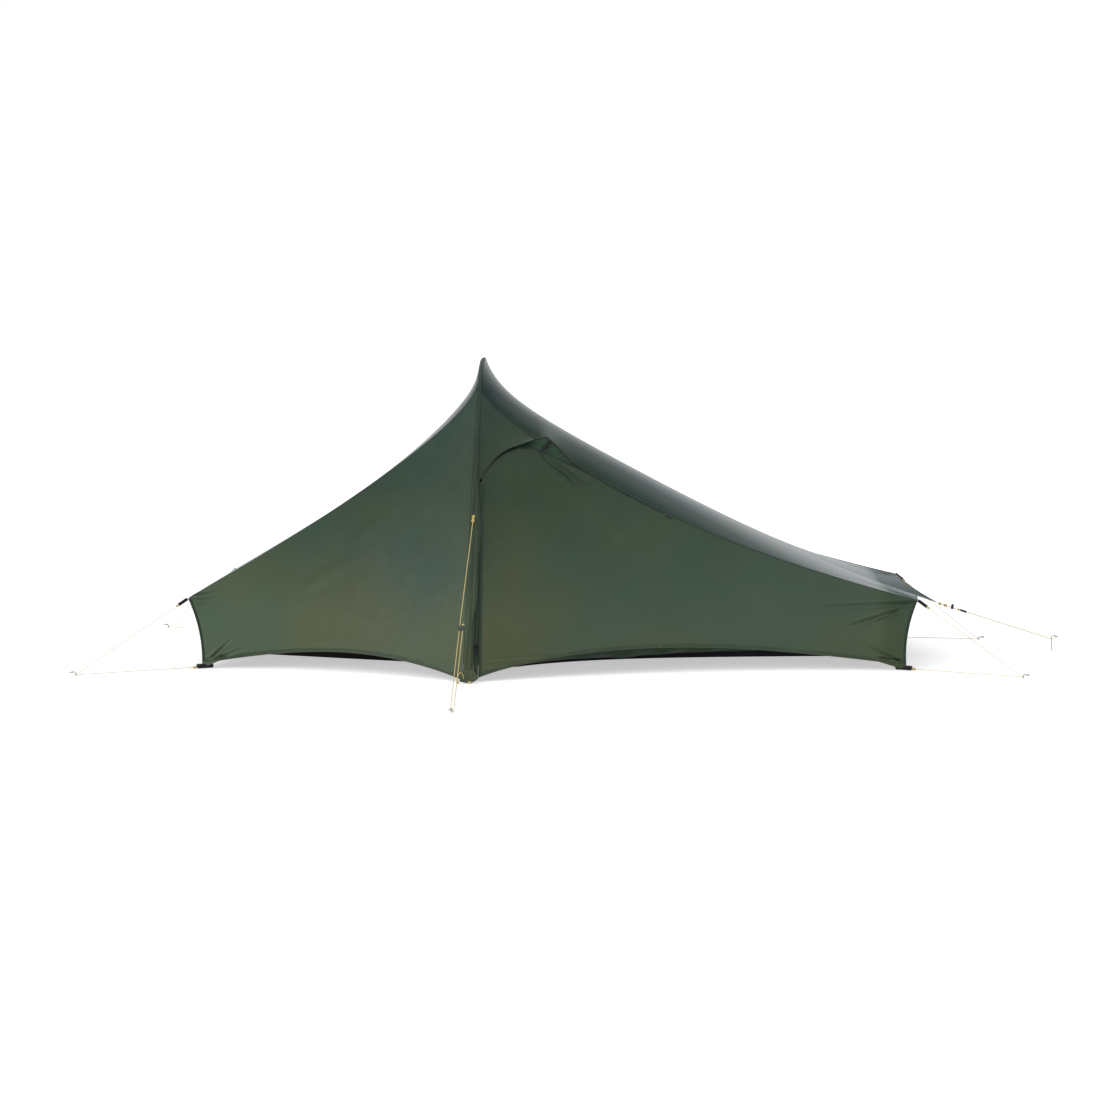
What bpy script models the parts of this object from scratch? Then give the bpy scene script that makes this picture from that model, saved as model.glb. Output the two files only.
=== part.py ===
"""Two-person trekking tent, pitched on flat ground.

One arched pole stands across the tent near the head end. The flysheet falls from it to four
short corner struts, and guy lines hold the corners, the arch and the foot end. A black floor tub
with an inner canopy hangs inside. X runs along the tent towards the foot end, -Y is the door
side, Z is up, and the ground is at z = 0. All sizes are in metres.
"""
import math

import bmesh
import bpy
import numpy as np
from mathutils import Matrix, Vector

# Ends of the tent, and its two long sides
HEAD = -1
FOOT = 1
FRONT = -1
BACK = 1

# Clearances and cloth thickness
TOUCH_GAP = 0.0003
SEAM_GAP = 0.0007
CLOTH = 0.0008

# Ground plan and corners
HALF_LENGTH = 1.200
HEAD_HALF_WIDTH = 0.470
FOOT_HALF_WIDTH = 0.410
CORNER_HEIGHT = 0.240
CORNER_HEM_HEIGHT = 0.018
HEAD_LEAN = 0.045
FOOT_LEAN = 0.035
CORNER_BOW = 0.013

# Arched pole
HOOP_X = -0.268
HOOP_HALF_WIDTH = 0.735
CROWN_HEIGHT = 1.0435
CROWN_RADIUS = 0.240
CROWN_ANGLE = math.radians(35.0)
POLE_RADIUS = 0.0045
POLE_WALL = 0.0008
POLE_SECTIONS = 6
SPIGOT_LENGTH = 0.035
SHOCK_CORD_RADIUS = 0.0018
CROWN_STEP = 0.018
LEG_STEP = 0.070

# Sleeve that carries the flysheet on the pole
SLEEVE_FOOT_HALF_WIDTH = 0.018
SLEEVE_CROWN_HALF_WIDTH = 0.0065
SLEEVE_HALF_DEPTH = 0.0058
SLEEVE_FOOT_HEIGHT = 0.022

# Roof: the seam curves that edge it, and its rise above them
SEAM_CUSP = 0.036
HEAD_CUSP_LENGTH = 0.044
FOOT_CUSP_LENGTH = 0.028
HEAD_NEAR_SAG = 0.031
HEAD_FAR_SAG = 0.015
FOOT_NEAR_SAG = 0.070
FOOT_FAR_SAG = 0.046
HEAD_ROOF_RISE = 0.052
FOOT_ROOF_RISE = 0.0155
HEAD_ROOF_BULGE = -0.027
FOOT_ROOF_BULGE = 0.069
HEAD_PEAK_LENGTH = 0.0115
FOOT_PEAK_LENGTH = 0.114
TAB_LENGTH = 0.117
TAB_SPREAD = 0.30
TAB_DROP = 0.517

# Lower edges of the side walls and end panels
HEAD_HEM_LIFT = 0.053
FOOT_HEM_LIFT = 0.074
HEAD_HEM_SKEW = 0.86
FOOT_HEM_SKEW = 0.75
HEM_BOW = 0.100
HOOP_HEM_HEIGHT = 0.006
END_HEM_LIFT = 0.040
END_BOW = 0.030
END_TOP_ROOM = 0.0012

# Door, vent hood and vent in the front wall at the foot side of the pole
DOOR_HINGE_SHARE = 0.424
HOOD_SHARE = 0.128
HOOD_HOOP_SHARE = 0.655
HOOD_SWELL = 0.135
HOOD_LIFT = 0.012
VENT_END_SHARE = 0.250
VENT_DROP = 0.036
VENT_FALL = 1.03
VENT_LIFT = 0.032
VENT_LIFT_SHARE = 0.154
VENT_LIFT_NEAR = 0.018
VENT_LIFT_FAR = 0.040
VENT_MESH_LAP = 0.008
VENT_MESH_BELLY = 0.005
VENT_MESH_THICKNESS = 0.0008
PROP_SHARE = 0.162
PROP_WIDTH = 0.012
PROP_THICKNESS = 0.002
PROP_FORWARD = 0.0018
PROP_TOP_ROOM = 0.0008
PROP_FOOT_ROOM = 0.0019
ZIP_WIDTH = 0.014
ZIP_THICKNESS = 0.002
SLIDER_LENGTH = 0.018
SLIDER_WIDTH = 0.010
SLIDER_THICKNESS = 0.004
SLIDER_HEIGHT = 0.110
BAIL_RADIUS = 0.004
BAIL_WIRE_RADIUS = 0.0008
PULLER_LENGTH = 0.032
PULLER_WIDTH = 0.006
PULLER_THICKNESS = 0.0014
PULLER_BAR = 0.0015
PULLER_EYE_LENGTH = 0.0074
PULLER_EYE_WIDTH = 0.0033
TOGGLE_SHARE = 0.436
TOGGLE_LENGTH = 0.022
TOGGLE_RADIUS = 0.003
TOGGLE_LIFT = 0.0012

# Corner struts with their pockets and straps
STRUT_RADIUS = 0.0035
HEAD_STRUT_SLOPE = 0.40
FOOT_STRUT_SLOPE = 0.10
STRUT_INSET_X = 0.026
STRUT_INSET_Y = 0.018
POCKET_LENGTH = 0.056
POCKET_FORWARD = 0.020
HOOP_POCKET_LENGTH = 0.034
HOOP_POCKET_FORWARD = 0.004
POCKET_WIDTH = 0.022
POCKET_HEIGHT = 0.015
POCKET_FLOOR = 0.0045
POCKET_BEVEL = 0.0015
STRAP_LENGTH = 0.034
STRAP_WIDTH = 0.011
STRAP_THICKNESS = 0.0022
STRAP_GAP = 0.0044
STRAP_SPLAY = 0.07

# Guy lines, pegs and line adjusters
CORNER_LINE_RADIUS = 0.0009
MAIN_LINE_RADIUS = 0.00125
PEG_RADIUS = 0.0020
PEG_SHOULDER = 0.0105
PEG_NECK = 0.005
PEG_REACH = 0.020
PEG_LOOP_WIDTH = 0.009
PEG_LINE_HEIGHT = 0.0045
TURN_DIAMETERS = 2.1
HOOP_GUY_HEIGHT = 0.521
HOOP_PEG_DISTANCE = 0.595
FOOT_PEG_X = 1.766
FOOT_PEG_Y = 0.080
FOOT_PEG_SHOULDER = 0.050
FOOT_PEG_LINE_HEIGHT = 0.043
ADJUSTER_LENGTH = 0.020
ADJUSTER_WIDTH = 0.018
ADJUSTER_THICKNESS = 0.008
HOOP_ADJUSTER_SHARE = 0.600
FOOT_ADJUSTER_SHARE = 0.215
CORNER_PEGS = {
    (HEAD, FRONT): (-1.589, -0.657),
    (HEAD, BACK): (-1.526, 0.546),
    (FOOT, FRONT): (1.570, -0.575),
    (FOOT, BACK): (1.541, 0.343),
}

# Inner tent
INNER_HALF_LENGTH = 1.130
INNER_END_INSET = 0.070
INNER_BACK_INSET = 0.085
INNER_FRONT_BULGE = 0.030
INNER_SEAM_HEIGHT = 0.860
INNER_END_HEIGHT = 0.185
INNER_SEAM_INSET = 0.045
INNER_SEAM_GAP = 0.0014
INNER_HOOP_RISE = 0.055
INNER_FOOT_BULGE = 0.050
TUB_WALL = 0.095
TUB_LEAN = 0.012
TUB_TOP_LIFT = 0.018
TUB_BAND = 0.270
TUB_LOW_X = -0.130
TUB_HEAD_SLOPE = 0.045
TUB_FOOT_LIFT = 0.038
TUB_FOOT_RUN = 0.280
FLOOR_THICKNESS = 0.0015
HANGER_WIDTH = 0.014
HANGER_THICKNESS = 0.0016
HANGER_ROOM = 0.0005
INNER_DOOR_HALF_WIDTH = 0.260
INNER_DOOR_X = 0.020
INNER_DOOR_SILL = 0.130
INNER_DOOR_HEIGHT = 0.420
INNER_DOOR_GAP = 0.0011

GREEN = (0.075, 0.107, 0.072)
ROOF_GREEN = (0.105, 0.140, 0.125)
DARK_GREEN = (0.045, 0.070, 0.048)
BLACK = (0.012, 0.012, 0.013)
GOLD = (0.72, 0.50, 0.12)
ALLOY = (0.55, 0.56, 0.57)
GREY = (0.20, 0.21, 0.20)


def lerp(a, b, t):
    """Straight mix of a and b."""
    return a + (b - a) * t


def hump(t):
    """Parabola that is 0 at both ends and 1 in the middle."""
    return 4.0 * t * (1.0 - t)


def early_hump(t):
    """Hump that is 0 at both ends and 1 at a third of the way."""
    return 6.75 * t * (1.0 - t) ** 2


def by_end(end, head_value, foot_value):
    """Picks the value of the head end or of the foot end."""
    return head_value if end == HEAD else foot_value


def end_half_width(end):
    return by_end(end, HEAD_HALF_WIDTH, FOOT_HALF_WIDTH)


# Pole curve: a crown arc over two legs, each one long arc, smooth where they meet
CROWN_CENTRE_Z = CROWN_HEIGHT - CROWN_RADIUS
JUNCTION_Y = CROWN_RADIUS * math.cos(CROWN_ANGLE)
JUNCTION_Z = CROWN_CENTRE_Z + CROWN_RADIUS * math.sin(CROWN_ANGLE)
LEG_CHORD = math.hypot(HOOP_HALF_WIDTH - JUNCTION_Y, JUNCTION_Z)
LEG_CHORD_ANGLE = math.atan2(HOOP_HALF_WIDTH - JUNCTION_Y, JUNCTION_Z)
LEG_HALF_TURN = CROWN_ANGLE - LEG_CHORD_ANGLE
LEG_RADIUS = LEG_CHORD / (2.0 * math.sin(LEG_HALF_TURN))
LEG_FOOT_ANGLE = LEG_CHORD_ANGLE - LEG_HALF_TURN
LEG_CENTRE_Y = JUNCTION_Y - LEG_RADIUS * math.cos(CROWN_ANGLE)
LEG_CENTRE_Z = JUNCTION_Z - LEG_RADIUS * math.sin(CROWN_ANGLE)
LEG_LENGTH = LEG_RADIUS * 2.0 * LEG_HALF_TURN
CROWN_LENGTH = CROWN_RADIUS * (math.pi - 2.0 * CROWN_ANGLE)
POLE_LENGTH = 2.0 * LEG_LENGTH + CROWN_LENGTH


def leg_angle(share):
    """Angle on the leg arc, share 0 at the ground and 1 where the crown starts."""
    return lerp(LEG_FOOT_ANGLE, CROWN_ANGLE, share)


def leg_point(share):
    """Distance from the middle plane and height on a leg of the pole."""
    angle = leg_angle(share)
    y = LEG_CENTRE_Y + LEG_RADIUS * np.cos(angle)
    z = LEG_CENTRE_Z + LEG_RADIUS * np.sin(angle)
    return y, z


def leg_share_at_height(height):
    """Share along the leg arc at which the pole has this height."""
    angle = math.asin((height - LEG_CENTRE_Z) / LEG_RADIUS)
    return (angle - LEG_FOOT_ANGLE) / (CROWN_ANGLE - LEG_FOOT_ANGLE)


def pole_frame(distance):
    """Point and outward direction on the pole, at a distance along it from the front foot."""
    if distance < LEG_LENGTH:
        angle = leg_angle(distance / LEG_LENGTH)
        y = -(LEG_CENTRE_Y + LEG_RADIUS * math.cos(angle))
        z = LEG_CENTRE_Z + LEG_RADIUS * math.sin(angle)
        return Vector((HOOP_X, y, z)), Vector((0.0, -math.cos(angle), math.sin(angle)))
    if distance > LEG_LENGTH + CROWN_LENGTH:
        point, outward = pole_frame(POLE_LENGTH - distance)
        return Vector((point.x, -point.y, point.z)), Vector((0.0, -outward.y, outward.z))
    angle = math.pi - CROWN_ANGLE - (distance - LEG_LENGTH) / CROWN_RADIUS
    outward = Vector((0.0, math.cos(angle), math.sin(angle)))
    return Vector((HOOP_X, 0.0, CROWN_CENTRE_Z)) + outward * CROWN_RADIUS, outward


def sleeve_half_width(height):
    """The sleeve is wide at the ground and narrow at the crown."""
    share = np.clip(height / JUNCTION_Z, 0.0, 1.0)
    return lerp(SLEEVE_FOOT_HALF_WIDTH, SLEEVE_CROWN_HALF_WIDTH, share)


# Flysheet surface
def corner_x(end, share):
    """X of a corner's upright edge, share 0 at the hem and 1 at the top; it bows inwards."""
    lean = by_end(end, HEAD_LEAN, FOOT_LEAN)
    return end * (HALF_LENGTH + lean * share - CORNER_BOW * hump(share))


def roof_start_x(end):
    """The roof's cut edge leans towards the sleeve, so it stands off by part of the cloth too."""
    return HOOP_X + end * (SLEEVE_CROWN_HALF_WIDTH + SEAM_GAP + CLOTH * 0.6)


def seam_height(end, t):
    """Height of the roof seam, t 0 at the pole and 1 at the corner: two sags, a cusp at the pole."""
    near = by_end(end, HEAD_NEAR_SAG, FOOT_NEAR_SAG)
    far = by_end(end, HEAD_FAR_SAG, FOOT_FAR_SAG)
    run = abs(corner_x(end, 1.0) - roof_start_x(end))
    line = lerp(JUNCTION_Z - SEAM_CUSP, CORNER_HEIGHT, t)
    sagged = line - near * early_hump(t) - far * early_hump(1.0 - t)
    return sagged + SEAM_CUSP * np.exp(-t * run / by_end(end, HEAD_CUSP_LENGTH, FOOT_CUSP_LENGTH))


def seam_half_width(end, t):
    return lerp(JUNCTION_Y, end_half_width(end), t)


def crown_shape(s):
    """Section of the crown arc, 1 in the middle and 0 at the seams, s from -1 to 1."""
    edge = math.sqrt(CROWN_RADIUS ** 2 - JUNCTION_Y ** 2)
    return (np.sqrt(CROWN_RADIUS ** 2 - (s * JUNCTION_Y) ** 2) - edge) / (CROWN_RADIUS - edge)


def vent_lift(t):
    """How far the prop of the vent holds up the front edge of the roof, steeper by the hood."""
    spread = np.where(t < VENT_LIFT_SHARE, VENT_LIFT_NEAR, VENT_LIFT_FAR)
    return VENT_LIFT * np.exp(-((t - VENT_LIFT_SHARE) / spread) ** 2)


def roof_point(end, t, s):
    """Roof surface, t from the pole to the end and s from the front seam to the back seam."""
    run = abs(corner_x(end, 1.0) - roof_start_x(end))
    rise_at_pole = CROWN_HEIGHT - JUNCTION_Z
    steady = by_end(end, HEAD_ROOF_RISE, FOOT_ROOF_RISE)
    bulge = by_end(end, HEAD_ROOF_BULGE, FOOT_ROOF_BULGE)
    rise = steady * (1.0 - t) + bulge * early_hump(t)
    peak_length = by_end(end, HEAD_PEAK_LENGTH, FOOT_PEAK_LENGTH)
    rise = rise + (rise_at_pole - steady) * np.exp(-t * run / peak_length)
    x = lerp(roof_start_x(end), corner_x(end, 1.0), t)
    y = s * seam_half_width(end, t)
    z = seam_height(end, t) + rise * crown_shape(s)
    if end == FOOT:
        tab = TAB_LENGTH * np.exp(-np.abs(s) / TAB_SPREAD) * t ** 6
        x = x + tab
        z = z - TAB_DROP * tab + vent_lift(t) * np.clip(-s, 0.0, 1.0) ** 4
    return np.stack([x + 0.0 * y, y, z], axis=-1)


def roof_height_at(end, x, s):
    """Height of the roof's outer end where it passes a given x, s as in roof_point."""
    t = np.linspace(0.7, 1.0, 61)
    points = roof_point(end, t, s * np.ones_like(t))
    return float(np.interp(end * x, end * points[:, 0], points[:, 2]))


def hem_point(end, side, t):
    """Lower edge of a side wall, t 0 at the pole and 1 at the corner: bowed in and lifted."""
    lift = by_end(end, HEAD_HEM_LIFT, FOOT_HEM_LIFT)
    skew = by_end(end, HEAD_HEM_SKEW, FOOT_HEM_SKEW)
    x = lerp(HOOP_X + end * (SLEEVE_FOOT_HALF_WIDTH + SEAM_GAP), corner_x(end, 0.0), t)
    y = side * (lerp(HOOP_HALF_WIDTH, end_half_width(end), t) - HEM_BOW * hump(t))
    z = lerp(HOOP_HEM_HEIGHT, CORNER_HEM_HEIGHT, t) + lift * np.sin(np.pi * t ** skew)
    return np.stack([x, y, z], axis=-1)


def seam_point(end, side, t):
    x = lerp(roof_start_x(end), corner_x(end, 1.0), t)
    return np.stack([x, side * seam_half_width(end, t), seam_height(end, t)], axis=-1)


def pole_edge_point(end, side, v):
    """Wall edge beside the sleeve, v 0 at the hem and 1 at the crown."""
    start = leg_share_at_height(HOOP_HEM_HEIGHT)
    y, z = leg_point(lerp(start, 1.0, v))
    x = HOOP_X + end * (sleeve_half_width(z) + SEAM_GAP)
    return np.stack([x, side * y, z], axis=-1)


def corner_edge_point(end, side, v):
    z = lerp(CORNER_HEM_HEIGHT, CORNER_HEIGHT, v)
    return np.stack([corner_x(end, v), side * end_half_width(end) + 0.0 * v, z], axis=-1)


def wall_point(end, side, t, v):
    """Side wall as a Coons patch, the smooth sheet spanned by its four edges."""
    t = np.asarray(t, dtype=float)
    v = np.asarray(v, dtype=float)
    tt = t[..., None]
    vv = v[..., None]
    along = lerp(hem_point(end, side, t), seam_point(end, side, t), vv)
    across = lerp(pole_edge_point(end, side, v), corner_edge_point(end, side, v), tt)
    zero = np.zeros(1)
    one = np.ones(1)
    low = lerp(hem_point(end, side, zero), hem_point(end, side, one), tt)
    high = lerp(seam_point(end, side, zero), seam_point(end, side, one), tt)
    return along + across - lerp(low, high, vv)


def wall_height(end, side, t):
    """Length of the wall from hem to seam at t."""
    top = wall_point(end, side, t, np.ones_like(t))
    bottom = wall_point(end, side, t, np.zeros_like(t))
    return np.linalg.norm(top - bottom, axis=-1)


def end_panel_point(end, p, v):
    """End panel, p from -1 at the front corner to 1 at the back corner, v from hem to roof."""
    y = p * (end_half_width(end) - SEAM_GAP)
    across = 1.0 - p ** 2
    x = corner_x(end, v) - end * (SEAM_GAP + END_BOW * across * hump(v))
    low = CORNER_HEM_HEIGHT + END_HEM_LIFT * across
    top_x = corner_x(end, 1.0) - end * SEAM_GAP
    roof = [roof_height_at(end, top_x, s) for s in np.ravel(p)]
    high = np.reshape(roof, np.shape(p)) - CLOTH - SEAM_GAP - END_TOP_ROOM * across ** 0.5
    z = lerp(low, high, v)
    return np.stack([x + 0.0 * y, y + 0.0 * x, z], axis=-1)


# Outlines inside the front wall at the foot side
def foot_wall_run():
    return corner_x(FOOT, 1.0) - HOOP_X


def hood_edge(t):
    """Share of the wall height at which the hood ends, from the pole up to the roof seam."""
    share = np.clip(t / HOOD_SHARE, 0.0, 1.0)
    return HOOD_HOOP_SHARE + (1.0 - HOOD_HOOP_SHARE) * (share + HOOD_SWELL * early_hump(share))


def vent_drop(t):
    """How far the door's top edge lies below the roof seam along the vent and under the hood."""
    share = np.clip((t - HOOD_SHARE) / (VENT_END_SHARE - HOOD_SHARE), 0.0, 1.0)
    return VENT_DROP * (1.0 - share) ** 1.3 + VENT_FALL * np.maximum(HOOD_SHARE - t, 0.0)


def door_top(t):
    """Share of the wall height at which the door ends, under the hood, the vent and the roof."""
    height = wall_height(FOOT, FRONT, t)
    under_hood = hood_edge(t) - SEAM_GAP / height
    under_roof = 1.0 - (vent_drop(t) + SEAM_GAP) / height
    return np.minimum(under_hood, under_roof)


def foot_columns():
    """Places along the foot end that roof, hood, door and front wall share."""
    hood = np.linspace(0.0, HOOD_SHARE, 8)
    vent = np.linspace(HOOD_SHARE, VENT_END_SHARE, 9)
    door = np.linspace(VENT_END_SHARE, DOOR_HINGE_SHARE, 5)
    rest = np.linspace(DOOR_HINGE_SHARE, 1.0, 12)
    return np.concatenate([hood[:-1], vent[:-1], door[:-1], rest])


def columns_between(first, last):
    """The shared places strictly between two shares, with those two as the ends."""
    inside = [t for t in foot_columns() if first + 0.004 < t < last - 0.004]
    return np.array([first, *inside, last])


# Mesh and object helpers
COLLECTION = bpy.data.collections.new("two_person_tent")
CUTTERS = bpy.data.collections.new("cutters")


def clear_scene():
    for obj in list(bpy.data.objects):
        bpy.data.objects.remove(obj, do_unlink=True)
    for collection in (COLLECTION, CUTTERS):
        bpy.context.scene.collection.children.link(collection)


def material(name, colour, roughness, metallic=0.0):
    found = bpy.data.materials.get(name)
    if found:
        return found
    made = bpy.data.materials.new(name)
    made.use_nodes = True
    shader = made.node_tree.nodes["Principled BSDF"]
    shader.inputs["Base Color"].default_value = (*colour, 1.0)
    shader.inputs["Roughness"].default_value = roughness
    shader.inputs["Metallic"].default_value = metallic
    return made


def finish(obj, finish_material, smooth=True):
    """Gives an object its material and shading and puts it in the tent's collection."""
    obj.data.materials.clear()
    obj.data.materials.append(finish_material)
    if smooth and obj.type == "MESH":
        obj.data.shade_smooth()
        obj.data.set_sharp_from_angle(angle=math.radians(35.0))
    for collection in list(obj.users_collection):
        collection.objects.unlink(obj)
    COLLECTION.objects.link(obj)
    return obj


def grid_mesh(name, points, wrap_rows=False, wrap_columns=False):
    """Mesh of four-sided faces over a grid of points, rows by columns."""
    rows, columns, _ = points.shape
    faces = []
    for row in range(rows if wrap_rows else rows - 1):
        for column in range(columns if wrap_columns else columns - 1):
            next_row = (row + 1) % rows
            next_column = (column + 1) % columns
            faces.append((row * columns + column, row * columns + next_column,
                          next_row * columns + next_column, next_row * columns + column))
    mesh = bpy.data.meshes.new(name)
    mesh.from_pydata([tuple(point) for point in points.reshape(-1, 3)], [], faces)
    mesh.update()
    return mesh


def sheet(name, points, thickness, finish_material, flip=False, wrap_rows=False):
    """Curved cloth panel: an open grid given its thickness towards the inside."""
    if flip:
        points = points[:, ::-1]
    obj = bpy.data.objects.new(name, grid_mesh(name, points, wrap_rows=wrap_rows))
    finish(obj, finish_material)
    solidify = obj.modifiers.new("thickness", "SOLIDIFY")
    solidify.thickness = thickness
    solidify.offset = -1.0
    return obj


def tube(name, points, radius, finish_material, resolution=2):
    """Round cord or wire through the points, with closed ends."""
    curve = bpy.data.curves.new(name, "CURVE")
    curve.dimensions = "3D"
    curve.bevel_depth = radius
    curve.bevel_resolution = resolution
    curve.use_fill_caps = True
    spline = curve.splines.new("POLY")
    spline.points.add(len(points) - 1)
    for target, point in zip(spline.points, points):
        target.co = (*point, 1.0)
    obj = bpy.data.objects.new(name, curve)
    return finish(obj, finish_material, smooth=False)


def box(name, size, matrix, finish_material, bevel=0.0):
    """Block with its size applied, placed by a matrix, with bevelled edges where asked."""
    bpy.ops.mesh.primitive_cube_add(size=1.0)
    obj = bpy.context.object
    obj.name = name
    obj.data.name = name
    obj.data.transform(Matrix.Diagonal((*size, 1.0)))
    obj.matrix_world = matrix
    finish(obj, finish_material, smooth=False)
    if bevel:
        edge = obj.modifiers.new("edge", "BEVEL")
        edge.width = bevel
        edge.segments = 1
    return obj


def frame_matrix(origin, x_axis, z_axis):
    """Placement with the given local X and Z directions; Z is squared to X."""
    x_axis = Vector(x_axis).normalized()
    y_axis = Vector(z_axis).cross(x_axis).normalized()
    z_axis = x_axis.cross(y_axis)
    matrix = Matrix((x_axis, y_axis, z_axis)).transposed().to_4x4()
    matrix.translation = Vector(origin)
    return matrix


def cut(obj, cutter, operation="DIFFERENCE"):
    """Boolean of an object with a hidden cutter."""
    for collection in list(cutter.users_collection):
        collection.objects.unlink(cutter)
    CUTTERS.objects.link(cutter)
    cutter.hide_render = True
    cutter.display_type = "WIRE"
    boolean = obj.modifiers.new(operation.lower(), "BOOLEAN")
    boolean.operation = operation
    boolean.object = cutter


def smooth_route(points, steps):
    """Points along a smooth curve (Catmull-Rom) through the route's own points."""
    points = [Vector(point) for point in points]
    padded = [points[0] * 2.0 - points[1], *points, points[-1] * 2.0 - points[-2]]
    route = []
    for index in range(1, len(padded) - 2):
        a, b, c, d = padded[index - 1:index + 3]
        for step in range(steps):
            t = step / steps
            route.append(0.5 * (2.0 * b + (c - a) * t + (2.0 * a - 5.0 * b + 4.0 * c - d) * t ** 2
                                + (3.0 * b - a - 3.0 * c + d) * t ** 3))
    route.append(points[-1])
    return route


# Flysheet
def build_roof(end, name):
    """Roof from seam to seam; its edges stop short of the walls by the seam gap."""
    share = foot_columns() if end == FOOT else np.linspace(0.0, 1.0, 15) ** 1.4
    edge = 1.0 - SEAM_GAP / end_half_width(end)
    across = np.sin(np.linspace(-0.5, 0.5, 13) * np.pi) * edge
    t, s = np.meshgrid(share, across, indexing="ij")
    points = roof_point(end, t, s)
    sheet(name, points, CLOTH, material("roof_cloth", ROOF_GREEN, 0.38), flip=end == FOOT)


def wall_panel(name, end, side, columns, low, high, finish_material, rows=10):
    """Part of a side wall between two edge curves, given as shares of its height."""
    t = np.asarray(columns, dtype=float)
    share = np.linspace(0.0, 1.0, rows + 1)
    grid_t = np.repeat(t[:, None], rows + 1, axis=1)
    grid_v = lerp(low(t)[:, None], high(t)[:, None], share[None, :])
    points = wall_point(end, side, grid_t, grid_v)
    return sheet(name, points, CLOTH, finish_material, flip=end * side == 1)


def build_walls():
    green = material("wall_cloth", GREEN, 0.42)

    def bottom(t):
        return np.zeros_like(t)

    for end, end_name in ((HEAD, "head"), (FOOT, "foot")):
        for side, side_name in ((FRONT, "front"), (BACK, "back")):
            def top(t, end=end, side=side):
                return 1.0 - SEAM_GAP / wall_height(end, side, t)

            last = 1.0 - SEAM_GAP / foot_wall_run()
            columns = np.linspace(0.0, last, 13)
            if end == FOOT and side == FRONT:
                columns = columns_between(DOOR_HINGE_SHARE + SEAM_GAP / foot_wall_run(), last)
            wall_panel(f"wall_{side_name}_{end_name}", end, side, columns, bottom, top, green)


def build_door():
    """The door runs from the zip beside the pole to its fold line, under hood, vent and roof."""
    first = (ZIP_WIDTH + SEAM_GAP) / foot_wall_run()
    columns = columns_between(first, DOOR_HINGE_SHARE)

    def bottom(t):
        return np.zeros_like(t)

    wall_panel("fly_door", FOOT, FRONT, columns, bottom, door_top,
               material("wall_cloth", GREEN, 0.42), rows=12)


def build_hood():
    """Three-sided hood beside the crown; its free edge stands off the door below it."""
    t = columns_between(0.0, HOOD_SHARE * 0.96)
    share = np.linspace(0.0, 1.0, 7)
    high = 1.0 - SEAM_GAP / wall_height(FOOT, FRONT, t)
    low = hood_edge(t) + SEAM_GAP / wall_height(FOOT, FRONT, t)
    grid_t = np.repeat(t[:, None], 7, axis=1)
    points = wall_point(FOOT, FRONT, grid_t, lerp(low[:, None], high[:, None], share[None, :]))
    stand_off = HOOD_LIFT * (1.0 - share[None, :]) ** 2 * np.sin(np.pi * 0.5 * (t / t[-1]))[:, None]
    normal = np.array(wall_normal(FOOT, FRONT, 0.08, 0.85))
    points = points + stand_off[..., None] * normal
    points[..., 2] += vent_lift(t)[:, None] * share[None, :] ** 2
    sheet("vent_hood", points, CLOTH, material("hood_cloth", GREEN, 0.42))


def wall_normal(end, side, t, v):
    """Outward direction of a side wall at one place."""
    step = 0.01
    here = wall_point(end, side, np.array([t]), np.array([v]))[0]
    along = wall_point(end, side, np.array([t + step]), np.array([v]))[0] - here
    up = wall_point(end, side, np.array([t]), np.array([v + step]))[0] - here
    normal = Vector(np.cross(along, up)).normalized()
    if normal.y * side < 0.0:
        normal = -normal
    return normal


def vent_lower_point(t):
    """Top edge of the door along the vent."""
    t = np.asarray(t, dtype=float)
    return wall_point(FOOT, FRONT, t, door_top(t))


def vent_upper_point(t):
    """Front edge of the roof along the vent, raised by the prop."""
    t = np.asarray(t, dtype=float)
    edge = 1.0 - SEAM_GAP / FOOT_HALF_WIDTH
    return roof_point(FOOT, t, -edge * np.ones_like(t))


def build_vent():
    """Fly screen set back in the vent, and the strap that props the roof edge up."""
    t = columns_between(HOOD_SHARE, lerp(HOOD_SHARE, VENT_END_SHARE, 0.92))
    inward = -np.array(wall_normal(FOOT, FRONT, HOOD_SHARE, 0.95))
    low = vent_lower_point(t) + inward * (CLOTH + SEAM_GAP) - np.array([0.0, 0.0, VENT_MESH_LAP])
    high = vent_upper_point(t) + inward * SEAM_GAP - np.array([0.0, 0.0, CLOTH + SEAM_GAP])
    share = np.linspace(0.0, 1.0, 6)
    belly = VENT_MESH_BELLY * hump(share)[None, :, None] * inward
    points = lerp(low[:, None, :], high[:, None, :], share[None, :, None]) + belly
    sheet("vent_mesh", points, VENT_MESH_THICKNESS, material("vent_net", DARK_GREEN, 0.7))

    top = Vector(vent_upper_point([PROP_SHARE])[0])
    edge = Vector(vent_upper_point([PROP_SHARE + 0.01])[0] - vent_upper_point([PROP_SHARE - 0.01])[0])
    edge.normalize()
    below = vent_lower_point(np.linspace(HOOD_SHARE, VENT_END_SHARE, 201)) - np.array(top)
    down = Vector(below[np.argmin(np.abs(below @ np.array(edge)))])
    reach = down.length - PROP_TOP_ROOM - PROP_FOOT_ROOM
    centre = top + down.normalized() * (PROP_TOP_ROOM + reach / 2.0) - Vector(inward) * PROP_FORWARD
    matrix = frame_matrix(centre, edge, down)
    box("vent_prop", (PROP_WIDTH, PROP_THICKNESS, reach), matrix,
        material("webbing", BLACK, 0.6), bevel=0.0004)


def build_end_panel(end, name):
    p, v = np.meshgrid(np.linspace(-1.0, 1.0, 11), np.linspace(0.0, 1.0, 6), indexing="ij")
    sheet(name, end_panel_point(end, p, v), CLOTH, material("end_cloth", GREEN, 0.42),
          flip=end == HEAD)


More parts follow.
